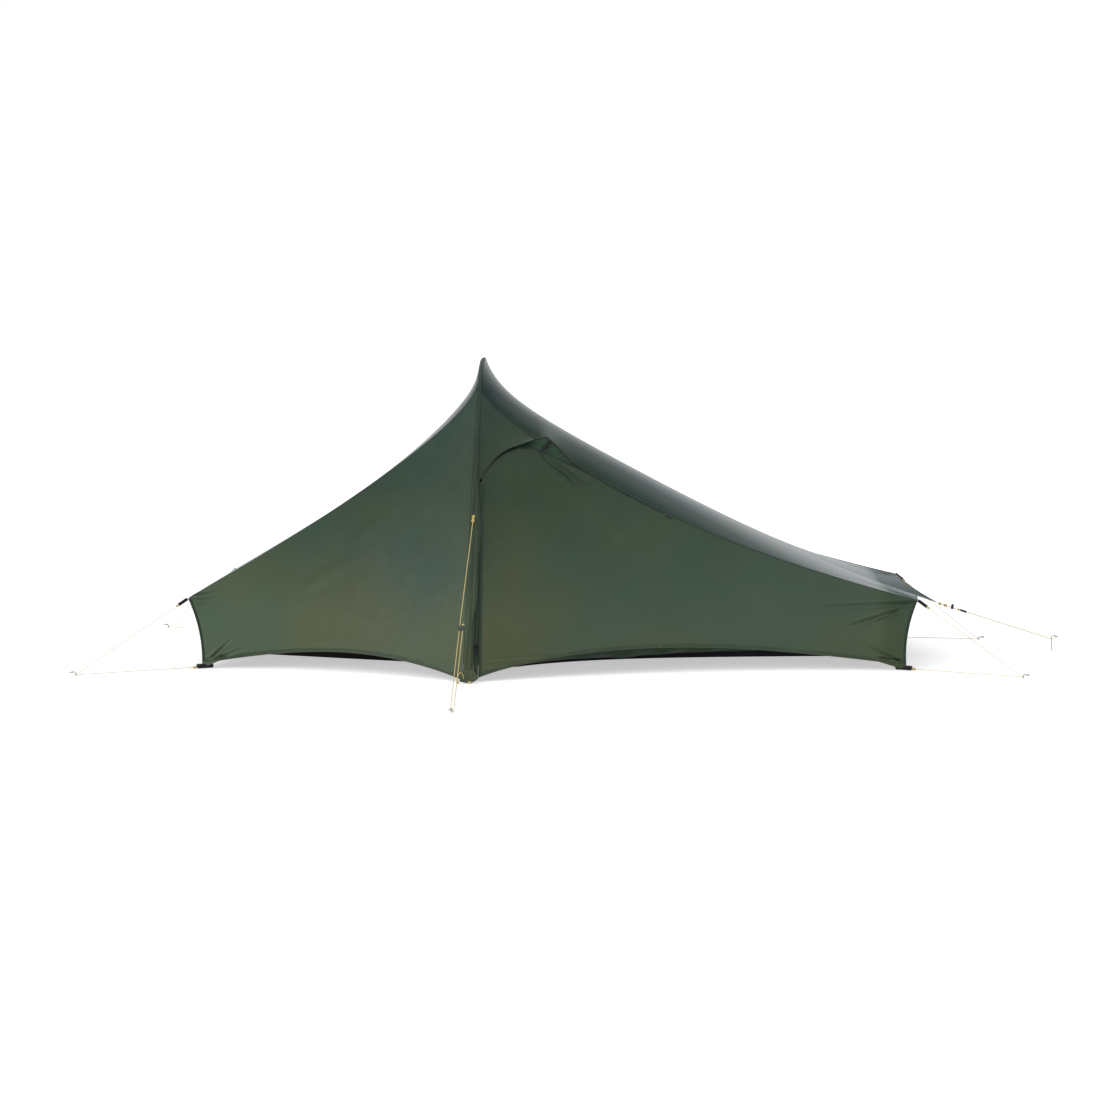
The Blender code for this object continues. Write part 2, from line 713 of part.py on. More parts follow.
def build_sleeve():
    """Flat cloth tube round the pole, wide at the ground and narrow at the crown."""
    start = leg_share_at_height(SLEEVE_FOOT_HEIGHT) * LEG_LENGTH
    rings = []
    distances = pole_steps(start, POLE_LENGTH - start)
    angles = [2.0 * math.pi * step / 12.0 for step in range(12)]
    for distance in distances:
        centre, outward = pole_frame(distance)
        half_width = float(sleeve_half_width(centre.z))
        rings.append([centre + Vector((half_width * math.cos(angle), 0.0, 0.0))
                      + outward * SLEEVE_HALF_DEPTH * math.sin(angle) for angle in angles])
    points = np.array(rings).transpose(1, 0, 2)
    sheet("pole_sleeve", points, CLOTH * 0.6, material("sleeve_cloth", GREEN, 0.45),
          wrap_rows=True)


# Door zip, its slider and the toggle that holds the rolled door
def build_zip():
    """Zip tape in the gap between sleeve and door, on the arc of the pole's leg."""
    start = leg_share_at_height(HOOP_HEM_HEIGHT)
    shares = [lerp(start, HOOD_HOOP_SHARE, step / 10.0) for step in range(11)]
    points = []
    for share in shares:
        y, z = leg_point(share)
        near = HOOP_X + float(sleeve_half_width(z)) + TOUCH_GAP
        points.append([(near, -y, z), (near + ZIP_WIDTH, -y, z)])
    sheet("door_zip", np.array(points), ZIP_THICKNESS, material("zip_tape", BLACK, 0.55))


def slider_place():
    """Centre and directions of the zip slider on the door zip."""
    angle = leg_angle(leg_share_at_height(SLIDER_HEIGHT))
    outward = Vector((0.0, -math.cos(angle), math.sin(angle)))
    upward = Vector((0.0, math.sin(angle), math.cos(angle)))
    y = -(LEG_CENTRE_Y + LEG_RADIUS * math.cos(angle))
    centre_x = HOOP_X + float(sleeve_half_width(SLIDER_HEIGHT)) + TOUCH_GAP + ZIP_WIDTH / 2.0
    surface = Vector((centre_x, y, LEG_CENTRE_Z + LEG_RADIUS * math.sin(angle)))
    return surface, outward, upward


def build_slider():
    """Slider body with a wire bail, and a flat puller hanging on the bail."""
    alloy = material("slider_alloy", ALLOY, 0.35, 1.0)
    surface, outward, upward = slider_place()
    base_top = TOUCH_GAP + SLIDER_THICKNESS
    centre = surface + outward * (TOUCH_GAP + SLIDER_THICKNESS / 2.0)
    body = box("zip_slider", (SLIDER_WIDTH, SLIDER_LENGTH, SLIDER_THICKNESS),
               frame_matrix(centre, (1.0, 0.0, 0.0), outward), alloy, bevel=0.0008)
    arch = []
    for step in range(9):
        angle = math.pi * step / 8.0
        arch.append(surface + outward * (base_top - BAIL_WIRE_RADIUS + BAIL_RADIUS * math.sin(angle))
                    + upward * BAIL_RADIUS * math.cos(angle))
    arch = [arch[0] - outward * BAIL_WIRE_RADIUS, *arch, arch[-1] - outward * BAIL_WIRE_RADIUS]
    bail_curve = tube("bail_wire", arch, BAIL_WIRE_RADIUS, alloy)
    bail = mesh_of_curve(bail_curve, "bail")
    cut(body, bail, "UNION")

    pin = surface + outward * (base_top - BAIL_WIRE_RADIUS + BAIL_RADIUS - BAIL_WIRE_RADIUS * 2.5)
    puller_top = pin + upward * (PULLER_BAR / 2.0)
    puller_centre = puller_top - upward * (PULLER_LENGTH / 2.0)
    puller = box("zip_puller", (PULLER_WIDTH, PULLER_LENGTH, PULLER_THICKNESS),
                 frame_matrix(puller_centre, (1.0, 0.0, 0.0), outward), alloy, bevel=0.0003)
    eye_centre = pin - upward * (PULLER_BAR + PULLER_EYE_LENGTH) / 2.0
    hole = box("puller_eye", (PULLER_EYE_WIDTH, PULLER_EYE_LENGTH, PULLER_THICKNESS * 4.0),
               frame_matrix(eye_centre, (1.0, 0.0, 0.0), outward), alloy)
    cut(puller, hole)


def mesh_of_curve(curve_object, name):
    """Turns a curve object into a closed mesh object and removes the curve."""
    bpy.context.view_layer.update()
    evaluated = curve_object.evaluated_get(bpy.context.evaluated_depsgraph_get())
    mesh = bpy.data.meshes.new_from_object(evaluated)
    obj = bpy.data.objects.new(name, mesh)
    obj.matrix_world = curve_object.matrix_world
    weld_ends(mesh)
    bpy.data.objects.remove(curve_object, do_unlink=True)
    return obj


def weld_ends(mesh):
    """Merges the loose end caps of a tube into its wall."""
    work = bmesh.new()
    work.from_mesh(mesh)
    bmesh.ops.remove_doubles(work, verts=work.verts, dist=1e-6)
    bmesh.ops.recalc_face_normals(work, faces=work.faces)
    work.to_mesh(mesh)
    work.free()


def build_toggle():
    """Short black toggle under the roof seam, where the rolled door is tied back."""
    t = TOGGLE_SHARE
    seat = Vector(wall_point(FOOT, FRONT, np.array([t]), np.array([0.985]))[0])
    normal = wall_normal(FOOT, FRONT, t, 0.98)
    along = Vector(seam_point(FOOT, FRONT, np.array([t + 0.02]))[0]
                   - seam_point(FOOT, FRONT, np.array([t - 0.02]))[0]).normalized()
    centre = seat + normal * (TOGGLE_RADIUS + TOUCH_GAP + TOGGLE_LIFT)
    ends = [centre - along * TOGGLE_LENGTH / 2.0, centre, centre + along * TOGGLE_LENGTH / 2.0]
    tube("door_toggle", ends, TOGGLE_RADIUS, material("toggle_plastic", BLACK, 0.5))


# Arched pole
def build_pole():
    """Tubes in a row; the spigot at the end of each one sits inside the next."""
    alloy = material("pole_alloy", ALLOY, 0.32, 1.0)
    first = POCKET_FLOOR + TOUCH_GAP
    length = (POLE_LENGTH - 2.0 * first) / POLE_SECTIONS
    bore = POLE_RADIUS - POLE_WALL
    spigot = bore - TOUCH_GAP
    spigot_bore = spigot - POLE_WALL
    for number in range(POLE_SECTIONS):
        start = first + number * length
        stop = start + length - TOUCH_GAP
        outer = [(distance, POLE_RADIUS) for distance in pole_steps(start, stop)]
        inner = [(distance, bore) for distance, _ in reversed(outer)]
        profile = outer + inner
        if number < POLE_SECTIONS - 1:
            tip = stop + TOUCH_GAP + SPIGOT_LENGTH
            middle = lerp(stop, tip, 0.5)
            root = stop - SPIGOT_LENGTH * 0.3
            profile = outer + [(stop, spigot), (middle, spigot), (tip, spigot),
                               (tip, spigot_bore), (middle, spigot_bore), (stop, spigot_bore),
                               (root, spigot_bore), (root, bore)]
            profile += [pair for pair in inner if pair[0] < root - 0.001]
        revolve_along_pole(f"pole_section_{number + 1}", profile, alloy)

    low = first + 0.004
    points = [pole_frame(distance)[0] for distance in pole_steps(low, POLE_LENGTH - low)]
    tube("pole_shock_cord", points, SHOCK_CORD_RADIUS, material("elastic", BLACK, 0.8), resolution=1)


def pole_steps(start, stop):
    """Distances along the pole between two places, close together round the crown."""
    crown_stop = LEG_LENGTH + CROWN_LENGTH
    bounds = [start, *[place for place in (LEG_LENGTH, crown_stop) if start < place < stop], stop]
    distances = []
    for low, high in zip(bounds, bounds[1:]):
        on_crown = LEG_LENGTH < (low + high) / 2.0 < crown_stop
        count = math.ceil((high - low) / (CROWN_STEP if on_crown else LEG_STEP))
        distances += [lerp(low, high, step / count) for step in range(count)]
    return [*distances, stop]


def revolve_along_pole(name, profile, finish_material):
    """Turned shape round the pole's curve, from a closed profile of distance and radius."""
    sides = 10
    rings = []
    for distance, radius in profile:
        centre, outward = pole_frame(distance)
        ring = []
        for step in range(sides):
            angle = 2.0 * math.pi * step / sides
            ring.append(centre + outward * radius * math.sin(angle)
                        + Vector((radius * math.cos(angle), 0.0, 0.0)))
        rings.append(ring)
    points = np.array(rings)[:, ::-1]
    mesh = grid_mesh(name, points, wrap_rows=True, wrap_columns=True)
    obj = bpy.data.objects.new(name, mesh)
    finish(obj, finish_material)


# Corners
CORNER_NAMES = {(HEAD, FRONT): "front_head", (HEAD, BACK): "back_head",
                (FOOT, FRONT): "front_foot", (FOOT, BACK): "back_foot"}


def corner_places(end, side):
    """Strut foot and top, and the peg and its direction, for one corner."""
    y = side * (end_half_width(end) - STRUT_INSET_Y)
    foot = Vector((corner_x(end, 0.0) - end * STRUT_INSET_X, y, POCKET_FLOOR + TOUCH_GAP))
    top_x = corner_x(end, 1.0) - end * STRUT_INSET_X
    t = (top_x - roof_start_x(end)) / (corner_x(end, 1.0) - roof_start_x(end))
    s = y / float(seam_half_width(end, t))
    under_roof = float(roof_point(end, np.array([t]), np.array([s]))[0][2])
    slope_room = STRUT_RADIUS * by_end(end, HEAD_STRUT_SLOPE, FOOT_STRUT_SLOPE)
    top = Vector((top_x, y, under_roof - CLOTH * 1.2 - slope_room - TOUCH_GAP))
    peg = Vector((*CORNER_PEGS[(end, side)], 0.0))
    return foot, top, peg


def build_pocket(name, base, towards, strut_radius, tilt, length, forward):
    """Black pocket on the ground; its bore holds the foot of a strut or of the pole."""
    direction = (towards - base)
    direction.z = 0.0
    direction.normalize()
    centre = Vector((base.x, base.y, POCKET_HEIGHT / 2.0)) + direction * forward
    webbing = material("webbing", BLACK, 0.6)
    pocket = box(name, (length, POCKET_WIDTH, POCKET_HEIGHT),
                 frame_matrix(centre, direction, (0.0, 0.0, 1.0)), webbing, bevel=POCKET_BEVEL)
    bore_depth = POCKET_HEIGHT * 2.0
    bpy.ops.mesh.primitive_cylinder_add(vertices=16, radius=strut_radius + 2.0 * TOUCH_GAP,
                                        depth=bore_depth)
    cutter = bpy.context.object
    cutter.name = f"{name}_bore"
    cutter.matrix_world = frame_matrix(base + tilt * bore_depth / 2.0, tilt.orthogonal(), tilt)
    cut(pocket, cutter)
    return centre + direction * length / 2.0


def turn_radius(wire_radius):
    """A limp line turns no tighter than this."""
    return TURN_DIAMETERS * 2.0 * wire_radius


def guy_round_peg(start, finish_point, peg, line_height, wire_radius, peg_radius):
    """Taut line from start to the peg, in an easy turn round it, and back to the finish point."""
    radius = turn_radius(wire_radius)
    inward = (start - peg)
    inward.z = 0.0
    inward.normalize()
    across = Vector((-inward.y, inward.x, 0.0))
    touching = radius - peg_radius - TOUCH_GAP - wire_radius
    middle = Vector((peg.x, peg.y, line_height)) + inward * touching
    turn = []
    for step in range(7):
        angle = math.pi * step / 6.0
        turn.append(middle + across * radius * math.cos(angle) - inward * radius * math.sin(angle))
    return [*run_points(start, turn[0], 7), *turn, *run_points(finish_point, turn[-1], 7)[::-1]]


def run_points(a, b, count):
    """Evenly spaced points from a towards b, without b itself."""
    return [lerp(Vector(a), Vector(b), step / count) for step in range(count)]


def build_peg(name, peg, inward, shoulder):
    """Upper end of a wire peg: upright through the line's loop, then bent out into an open eye."""
    across = Vector((-inward.y, inward.x, 0.0))
    ground = Vector((peg.x, peg.y, 0.0))
    rise = Vector((0.0, 0.0, 1.0))
    route = [
        ground,
        ground + rise * (shoulder - PEG_NECK),
        ground + rise * shoulder,
        ground + rise * (shoulder + 0.004) - inward * PEG_REACH * 0.35,
        ground + rise * (shoulder + 0.003) - inward * PEG_REACH * 0.85 + across * 0.001,
        ground + rise * (shoulder + 0.002) - inward * PEG_REACH + across * PEG_LOOP_WIDTH * 0.5,
        ground + rise * (shoulder + 0.001) - inward * PEG_REACH * 0.8 + across * PEG_LOOP_WIDTH,
        ground + rise * shoulder - inward * PEG_REACH * 0.35 + across * PEG_LOOP_WIDTH,
    ]
    points = [ground, *smooth_route(route[1:], 4)]
    tube(name, points, PEG_RADIUS, material("peg_alloy", ALLOY, 0.3, 1.0))


def build_corner(end, side):
    """One corner: strut, pocket, webbing tab, peg, and the line from tab to peg to pocket."""
    name = CORNER_NAMES[(end, side)]
    foot, top, peg = corner_places(end, side)
    strut_alloy = material("strut_alloy", ALLOY, 0.35, 1.0)
    tube(f"strut_{name}", [foot, lerp(foot, top, 0.5), top], STRUT_RADIUS, strut_alloy)
    tilt = (top - foot).normalized()
    base = foot - tilt * TOUCH_GAP
    pocket_end = build_pocket(f"foot_pocket_{name}", base, peg, STRUT_RADIUS, tilt,
                              POCKET_LENGTH, POCKET_FORWARD)

    corner = Vector((corner_x(end, 1.0), side * end_half_width(end), CORNER_HEIGHT - CLOTH / 2.0))
    outward = Vector((peg.x, peg.y, PEG_LINE_HEIGHT)) - corner
    outward.y = side * max(STRAP_SPLAY, side * outward.y)
    outward.normalize()
    tab_centre = corner + outward * (STRAP_GAP + STRAP_LENGTH / 2.0)
    box(f"corner_tab_{name}", (STRAP_LENGTH, STRAP_WIDTH, STRAP_THICKNESS),
        frame_matrix(tab_centre, outward, (0.0, side, 0.0)), material("webbing", BLACK, 0.6),
        bevel=0.0003)
    line_gap = TOUCH_GAP + CORNER_LINE_RADIUS * 0.4
    tab_end = corner + outward * (STRAP_GAP + STRAP_LENGTH + line_gap)

    inward = foot - peg
    inward.z = 0.0
    inward.normalize()
    pocket_exit = Vector((pocket_end.x, pocket_end.y, PEG_LINE_HEIGHT)) - inward * TOUCH_GAP
    route = guy_round_peg(tab_end, pocket_exit, peg, PEG_LINE_HEIGHT, CORNER_LINE_RADIUS, PEG_RADIUS)
    tube(f"guy_{name}", route, CORNER_LINE_RADIUS, material("guy_cord", GOLD, 0.6))
    build_peg(f"peg_{name}", peg, inward, PEG_SHOULDER)


# Main guy lines with their adjusters
def build_adjuster(name, centre, direction, across):
    """Black block with two bores, one for each strand of the line."""
    curve = bpy.data.curves.new(name, "CURVE")
    curve.dimensions = "2D"
    curve.fill_mode = "BOTH"
    curve.extrude = ADJUSTER_LENGTH / 2.0
    strand = turn_radius(MAIN_LINE_RADIUS)
    half_w = ADJUSTER_WIDTH / 2.0
    half_t = ADJUSTER_THICKNESS / 2.0
    outline = []
    for quarter in range(4):
        sign_w = 1.0 if quarter in (0, 3) else -1.0
        for step in range(4):
            angle = math.pi / 2.0 * (quarter + step / 3.0)
            outline.append((sign_w * (half_w - half_t) + half_t * math.cos(angle),
                            half_t * math.sin(angle)))
    rings = [outline]
    for sign in (1.0, -1.0):
        rings.append([(sign * strand + (MAIN_LINE_RADIUS + 2.0 * TOUCH_GAP) * math.cos(angle),
                       (MAIN_LINE_RADIUS + 2.0 * TOUCH_GAP) * math.sin(angle))
                      for angle in [2.0 * math.pi * step / 12.0 for step in range(12)]])
    for ring in rings:
        spline = curve.splines.new("POLY")
        spline.points.add(len(ring) - 1)
        for target, (x, y) in zip(spline.points, ring):
            target.co = (x, y, 0.0, 1.0)
        spline.use_cyclic_u = True
    obj = bpy.data.objects.new(name, curve)
    obj.matrix_world = frame_matrix(centre, across, direction)
    finish(obj, material("adjuster_plastic", BLACK, 0.45), smooth=False)


def build_main_guy(suffix, start, peg, line_height, shoulder, adjuster_share):
    """Line from the tent through the adjuster, round the peg and back into the adjuster."""
    strand = turn_radius(MAIN_LINE_RADIUS)
    inward = start - peg
    inward.z = 0.0
    inward.normalize()
    across = Vector((-inward.y, inward.x, 0.0))
    near = Vector((peg.x, peg.y, line_height))
    direction = (near - start).normalized()
    adjuster = lerp(start, near, adjuster_share)
    parallel = adjuster + across * strand - direction * ADJUSTER_LENGTH
    last = adjuster - across * strand - direction * (ADJUSTER_LENGTH * 0.5 + 0.006)
    route = guy_round_peg(parallel, last, peg, line_height, MAIN_LINE_RADIUS, PEG_RADIUS)
    route = [*run_points(start, parallel, 4), *route]
    tube(f"guy_{suffix}", route, MAIN_LINE_RADIUS, material("guy_cord", GOLD, 0.6))
    build_adjuster(f"adjuster_{suffix}", adjuster, direction, across)
    build_peg(f"peg_{suffix}", peg, inward, shoulder)


def build_hoop_guys():
    """One line on each side of the arch, from the sleeve down to a peg straight out from it."""
    share = leg_share_at_height(HOOP_GUY_HEIGHT)
    y, z = leg_point(share)
    angle = leg_angle(share)
    for side, name in ((FRONT, "hoop_front"), (BACK, "hoop_back")):
        outward = Vector((0.0, side * math.cos(angle), math.sin(angle)))
        reach = SLEEVE_HALF_DEPTH + TOUCH_GAP + MAIN_LINE_RADIUS
        start = Vector((HOOP_X, side * y, z)) + outward * reach
        peg = Vector((HOOP_X, side * (HOOP_HALF_WIDTH + HOOP_PEG_DISTANCE), 0.0))
        build_main_guy(name, start, peg, PEG_LINE_HEIGHT, PEG_SHOULDER, HOOP_ADJUSTER_SHARE)
        foot = Vector((HOOP_X, side * HOOP_HALF_WIDTH, 0.0))
        tilt = Vector((0.0, -side * math.sin(LEG_FOOT_ANGLE), math.cos(LEG_FOOT_ANGLE)))
        build_pocket(f"foot_pocket_{name}", foot + tilt * POCKET_FLOOR, peg, POLE_RADIUS, tilt,
                     HOOP_POCKET_LENGTH, HOOP_POCKET_FORWARD)


def build_foot_guy():
    """Line from the tab in the middle of the roof's foot edge."""
    tip = Vector(roof_point(FOOT, np.array([1.0]), np.array([0.0]))[0])
    peg = Vector((FOOT_PEG_X, FOOT_PEG_Y, 0.0))
    towards = Vector((FOOT_PEG_X, FOOT_PEG_Y, FOOT_PEG_LINE_HEIGHT)) - tip
    start = tip + towards.normalized() * 2.0 * TOUCH_GAP
    build_main_guy("foot_end", start, peg, FOOT_PEG_LINE_HEIGHT, FOOT_PEG_SHOULDER,
                   FOOT_ADJUSTER_SHARE)


# Inner tent
def inner_edge(side, x):
    """Distance of the tub's side from the middle plane at x."""
    end = HEAD if np.ndim(x) == 0 and x < HOOP_X else FOOT
    if side == FRONT:
        share = (x + INNER_HALF_LENGTH) / (2.0 * INNER_HALF_LENGTH)
        straight = lerp(HEAD_HALF_WIDTH, FOOT_HALF_WIDTH, share) - INNER_END_INSET
        return straight + INNER_FRONT_BULGE * hump(share)
    t = abs(x - HOOP_X) / abs(end * INNER_HALF_LENGTH - HOOP_X)
    fly = lerp(HOOP_HALF_WIDTH, end_half_width(end), t) - HEM_BOW * hump(t)
    return fly - lerp(INNER_BACK_INSET + 0.02, INNER_END_INSET, t)


def inner_seam(x):
    """Half width and height of the inner canopy's seams at x, and the rise between them."""
    end = HEAD if x < HOOP_X else FOOT
    t = abs(x - HOOP_X) / abs(end * INNER_HALF_LENGTH - HOOP_X)
    near = by_end(end, HEAD_NEAR_SAG, FOOT_NEAR_SAG)
    far = by_end(end, HEAD_FAR_SAG, FOOT_FAR_SAG)
    sag = near * early_hump(t) + far * early_hump(1.0 - t)
    height = lerp(INNER_SEAM_HEIGHT, INNER_END_HEIGHT, t) - sag
    half = lerp(JUNCTION_Y, end_half_width(end), t) - INNER_SEAM_INSET
    rise = INNER_HOOP_RISE * (1.0 - t) ** by_end(end, 8, 2)
    if end == FOOT:
        rise = rise + INNER_FOOT_BULGE * hump(t)
    return half, height, rise


def inner_stations(margin):
    """Places along the inner tent, closer together at the pole, ending a margin short."""
    reach = INNER_HALF_LENGTH - margin
    head = [lerp(-reach, HOOP_X, 1.0 - (1.0 - step / 9.0) ** 1.3) for step in range(9)]
    foot = [lerp(HOOP_X, reach, (step / 13.0) ** 1.3) for step in range(14)]
    return head + foot


def tub_top(side, x):
    """Upper edge of the tub's side wall, leaning out a little."""
    share = (x + INNER_HALF_LENGTH) / (2.0 * INNER_HALF_LENGTH)
    reach = inner_edge(side, x) + TUB_LEAN
    return Vector((x, side * reach, TUB_WALL + TUB_TOP_LIFT * hump(share)))


def tub_edge_height(x):
    """Height of the fold between the tub's floor and its side walls; it lies flat near the pole."""
    if x < TUB_LOW_X:
        return FLOOR_THICKNESS + TUB_HEAD_SLOPE * (TUB_LOW_X - x)
    return FLOOR_THICKNESS + TUB_FOOT_LIFT * (1.0 - math.exp(-(x - TUB_LOW_X) / TUB_FOOT_RUN))


def build_inner_canopy():
    """Inner roof and back wall in one sheet, from the front seam over to the tub's back edge."""
    rows = []
    for x in inner_stations(SEAM_GAP):
        half, height, rise = inner_seam(x)
        row = [(x, s * half, height + rise * (1.0 - s * s)) for s in np.linspace(-1.0, 1.0, 9)]
        low = tub_top(BACK, x) + Vector((0.0, 0.0, TOUCH_GAP * 2.0))
        seam = Vector((x, half, height))
        row += [tuple(lerp(seam, low, step / 5.0)) for step in range(1, 6)]
        rows.append(row)
    sheet("inner_canopy", np.array(rows), CLOTH, material("inner_cloth", GREY, 0.8), flip=True)


def build_hanger():
    """Strap that hangs the inner canopy from the underside of the sleeve at the crown."""
    _, seam, rise = inner_seam(HOOP_X)
    low = seam + rise + HANGER_ROOM
    high = CROWN_HEIGHT - SLEEVE_HALF_DEPTH - HANGER_ROOM
    centre = Vector((HOOP_X, 0.0, (low + high) / 2.0))
    box("inner_hanger", (HANGER_THICKNESS, HANGER_WIDTH, high - low), Matrix.Translation(centre),
        material("webbing", BLACK, 0.6), bevel=0.0003)


def inner_front_rows():
    rows = []
    for x in inner_stations(SEAM_GAP):
        half, height, _ = inner_seam(x)
        low = tub_top(FRONT, x) + Vector((0.0, 0.0, TOUCH_GAP * 2.0))
        seam = Vector((x, -half, height - INNER_SEAM_GAP))
        rows.append([tuple(lerp(low, seam, step / 6.0)) for step in range(7)])
    return np.array(rows)


def door_outline(grow):
    """D-shaped outline of the inner door in the XZ plane, grown by a margin."""
    half = INNER_DOOR_HALF_WIDTH + grow
    low = INNER_DOOR_SILL - grow
    high = INNER_DOOR_SILL + INNER_DOOR_HEIGHT + grow
    points = [(INNER_DOOR_X + half, low), (INNER_DOOR_X + half, lerp(low, high, 0.35))]
    for step in range(1, 10):
        angle = math.pi / 2.0 * step / 10.0
        points.append((INNER_DOOR_X - half + 2.0 * half * math.cos(angle),
                       lerp(low, high, 0.35) + (high - lerp(low, high, 0.35)) * math.sin(angle)))
    points += [(INNER_DOOR_X - half * 0.92, high), (INNER_DOOR_X - half, high - half * 0.08)]
    points.append((INNER_DOOR_X - half, low))
    return points


def outline_block(name, outline, depth):
    """Closed block from an outline in the XZ plane, reaching through the front wall."""
    curve = bpy.data.curves.new(name, "CURVE")
    curve.dimensions = "2D"
    curve.fill_mode = "BOTH"
    curve.extrude = depth / 2.0
    spline = curve.splines.new("POLY")
    spline.points.add(len(outline) - 1)
    for target, (x, z) in zip(spline.points, outline):
        target.co = (x, z, 0.0, 1.0)
    spline.use_cyclic_u = True
    obj = bpy.data.objects.new(f"{name}_curve", curve)
    COLLECTION.objects.link(obj)
    obj.matrix_world = frame_matrix((0.0, -0.35, 0.0), (1.0, 0.0, 0.0), (0.0, -1.0, 0.0))
    return mesh_of_curve(obj, name)


def build_inner_front():
    """Front wall of the inner tent with its doorway, and the door panel cut from the same sheet."""
    cloth = material("inner_cloth", GREY, 0.8)
    rows = inner_front_rows()
    wall = sheet("inner_wall_front", rows, CLOTH, cloth)
    cut(wall, outline_block("doorway_block", door_outline(INNER_DOOR_GAP), 0.5))
    door = sheet("inner_door", rows, CLOTH, cloth)
    cut(door, outline_block("door_block", door_outline(0.0), 0.5), "INTERSECT")


def build_floor():
    """Black floor tub: flat on the ground, its edges lifted a little and its walls turned up."""
    stations = inner_stations(0.0)
    xs = [stations[0] - FLOOR_THICKNESS * 0.6, *stations, stations[-1] + FLOOR_THICKNESS * 0.6]
    rows = []
    for index, x in enumerate(xs):
        inside = min(max(x, stations[0]), stations[-1])
        front = -inner_edge(FRONT, inside)
        back = inner_edge(BACK, inside)
        flat = [lerp(front + TUB_BAND, back - TUB_BAND, step / 4.0) for step in range(5)]
        top = tub_top(FRONT, inside)
        edge = tub_edge_height(inside)
        ys = [top.y, front, *flat, back, back + TUB_LEAN]
        zs = [top.z, edge, *[FLOOR_THICKNESS] * 5, edge, top.z]
        if index in (0, len(xs) - 1):
            zs = [INNER_END_HEIGHT - INNER_SEAM_GAP] * 9
        rows.append(list(zip([x] * 9, ys, zs)))
    sheet("inner_floor", np.array(rows), FLOOR_THICKNESS, material("floor_cloth", BLACK, 0.5),
          flip=True)


def build_tent():
    clear_scene()
    build_roof(HEAD, "roof_head")
    build_roof(FOOT, "roof_foot")
    build_walls()
    build_door()
    build_hood()
    build_vent()
    build_end_panel(HEAD, "end_panel_head")
    build_end_panel(FOOT, "end_panel_foot")
    build_sleeve()
    build_zip()
    build_slider()
    build_toggle()
    build_pole()
    for end, side in CORNER_NAMES:
        build_corner(end, side)
    build_hoop_guys()
    build_foot_guy()
    build_inner_canopy()
    build_hanger()
    build_inner_front()
    build_floor()


build_tent()
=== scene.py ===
"""Looks of the two-person arch tent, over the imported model.

X runs along the tent towards the foot end, -Y is the door side, Z is up, all in metres.
Every cloth panel is worked out again from the same curves as the solids and covers them.
"""
import math
import bpy
import numpy as np
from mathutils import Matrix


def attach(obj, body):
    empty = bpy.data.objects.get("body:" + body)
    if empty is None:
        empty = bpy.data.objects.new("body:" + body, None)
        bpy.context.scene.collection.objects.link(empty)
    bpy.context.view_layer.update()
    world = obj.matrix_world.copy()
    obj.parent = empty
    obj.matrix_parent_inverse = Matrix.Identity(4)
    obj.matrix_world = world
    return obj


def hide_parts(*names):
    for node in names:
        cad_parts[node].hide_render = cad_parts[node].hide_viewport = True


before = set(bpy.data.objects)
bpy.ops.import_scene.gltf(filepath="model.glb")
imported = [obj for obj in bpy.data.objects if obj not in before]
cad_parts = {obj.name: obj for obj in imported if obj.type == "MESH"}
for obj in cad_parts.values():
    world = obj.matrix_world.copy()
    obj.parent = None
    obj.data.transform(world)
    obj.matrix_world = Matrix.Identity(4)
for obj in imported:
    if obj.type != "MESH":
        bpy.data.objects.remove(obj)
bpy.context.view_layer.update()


# The camera stands low in front of the door, a little to the foot side, and looks slightly
# down. Its place and 77 mm lens were worked out from the photograph's own perspective.
def put(name, data):
    """A new object in the scene."""
    obj = bpy.data.objects.new(name, data)
    bpy.context.scene.collection.objects.link(obj)
    return obj


camera_data = bpy.data.cameras.new("camera")
camera_data.lens = 77.1
camera_data.sensor_width = 36.0
camera = put("camera", camera_data)
camera.location = (0.372, -8.520, 1.2316)
camera.rotation_euler = (math.radians(83.95), 0.0, math.radians(2.475))
bpy.context.scene.camera = camera


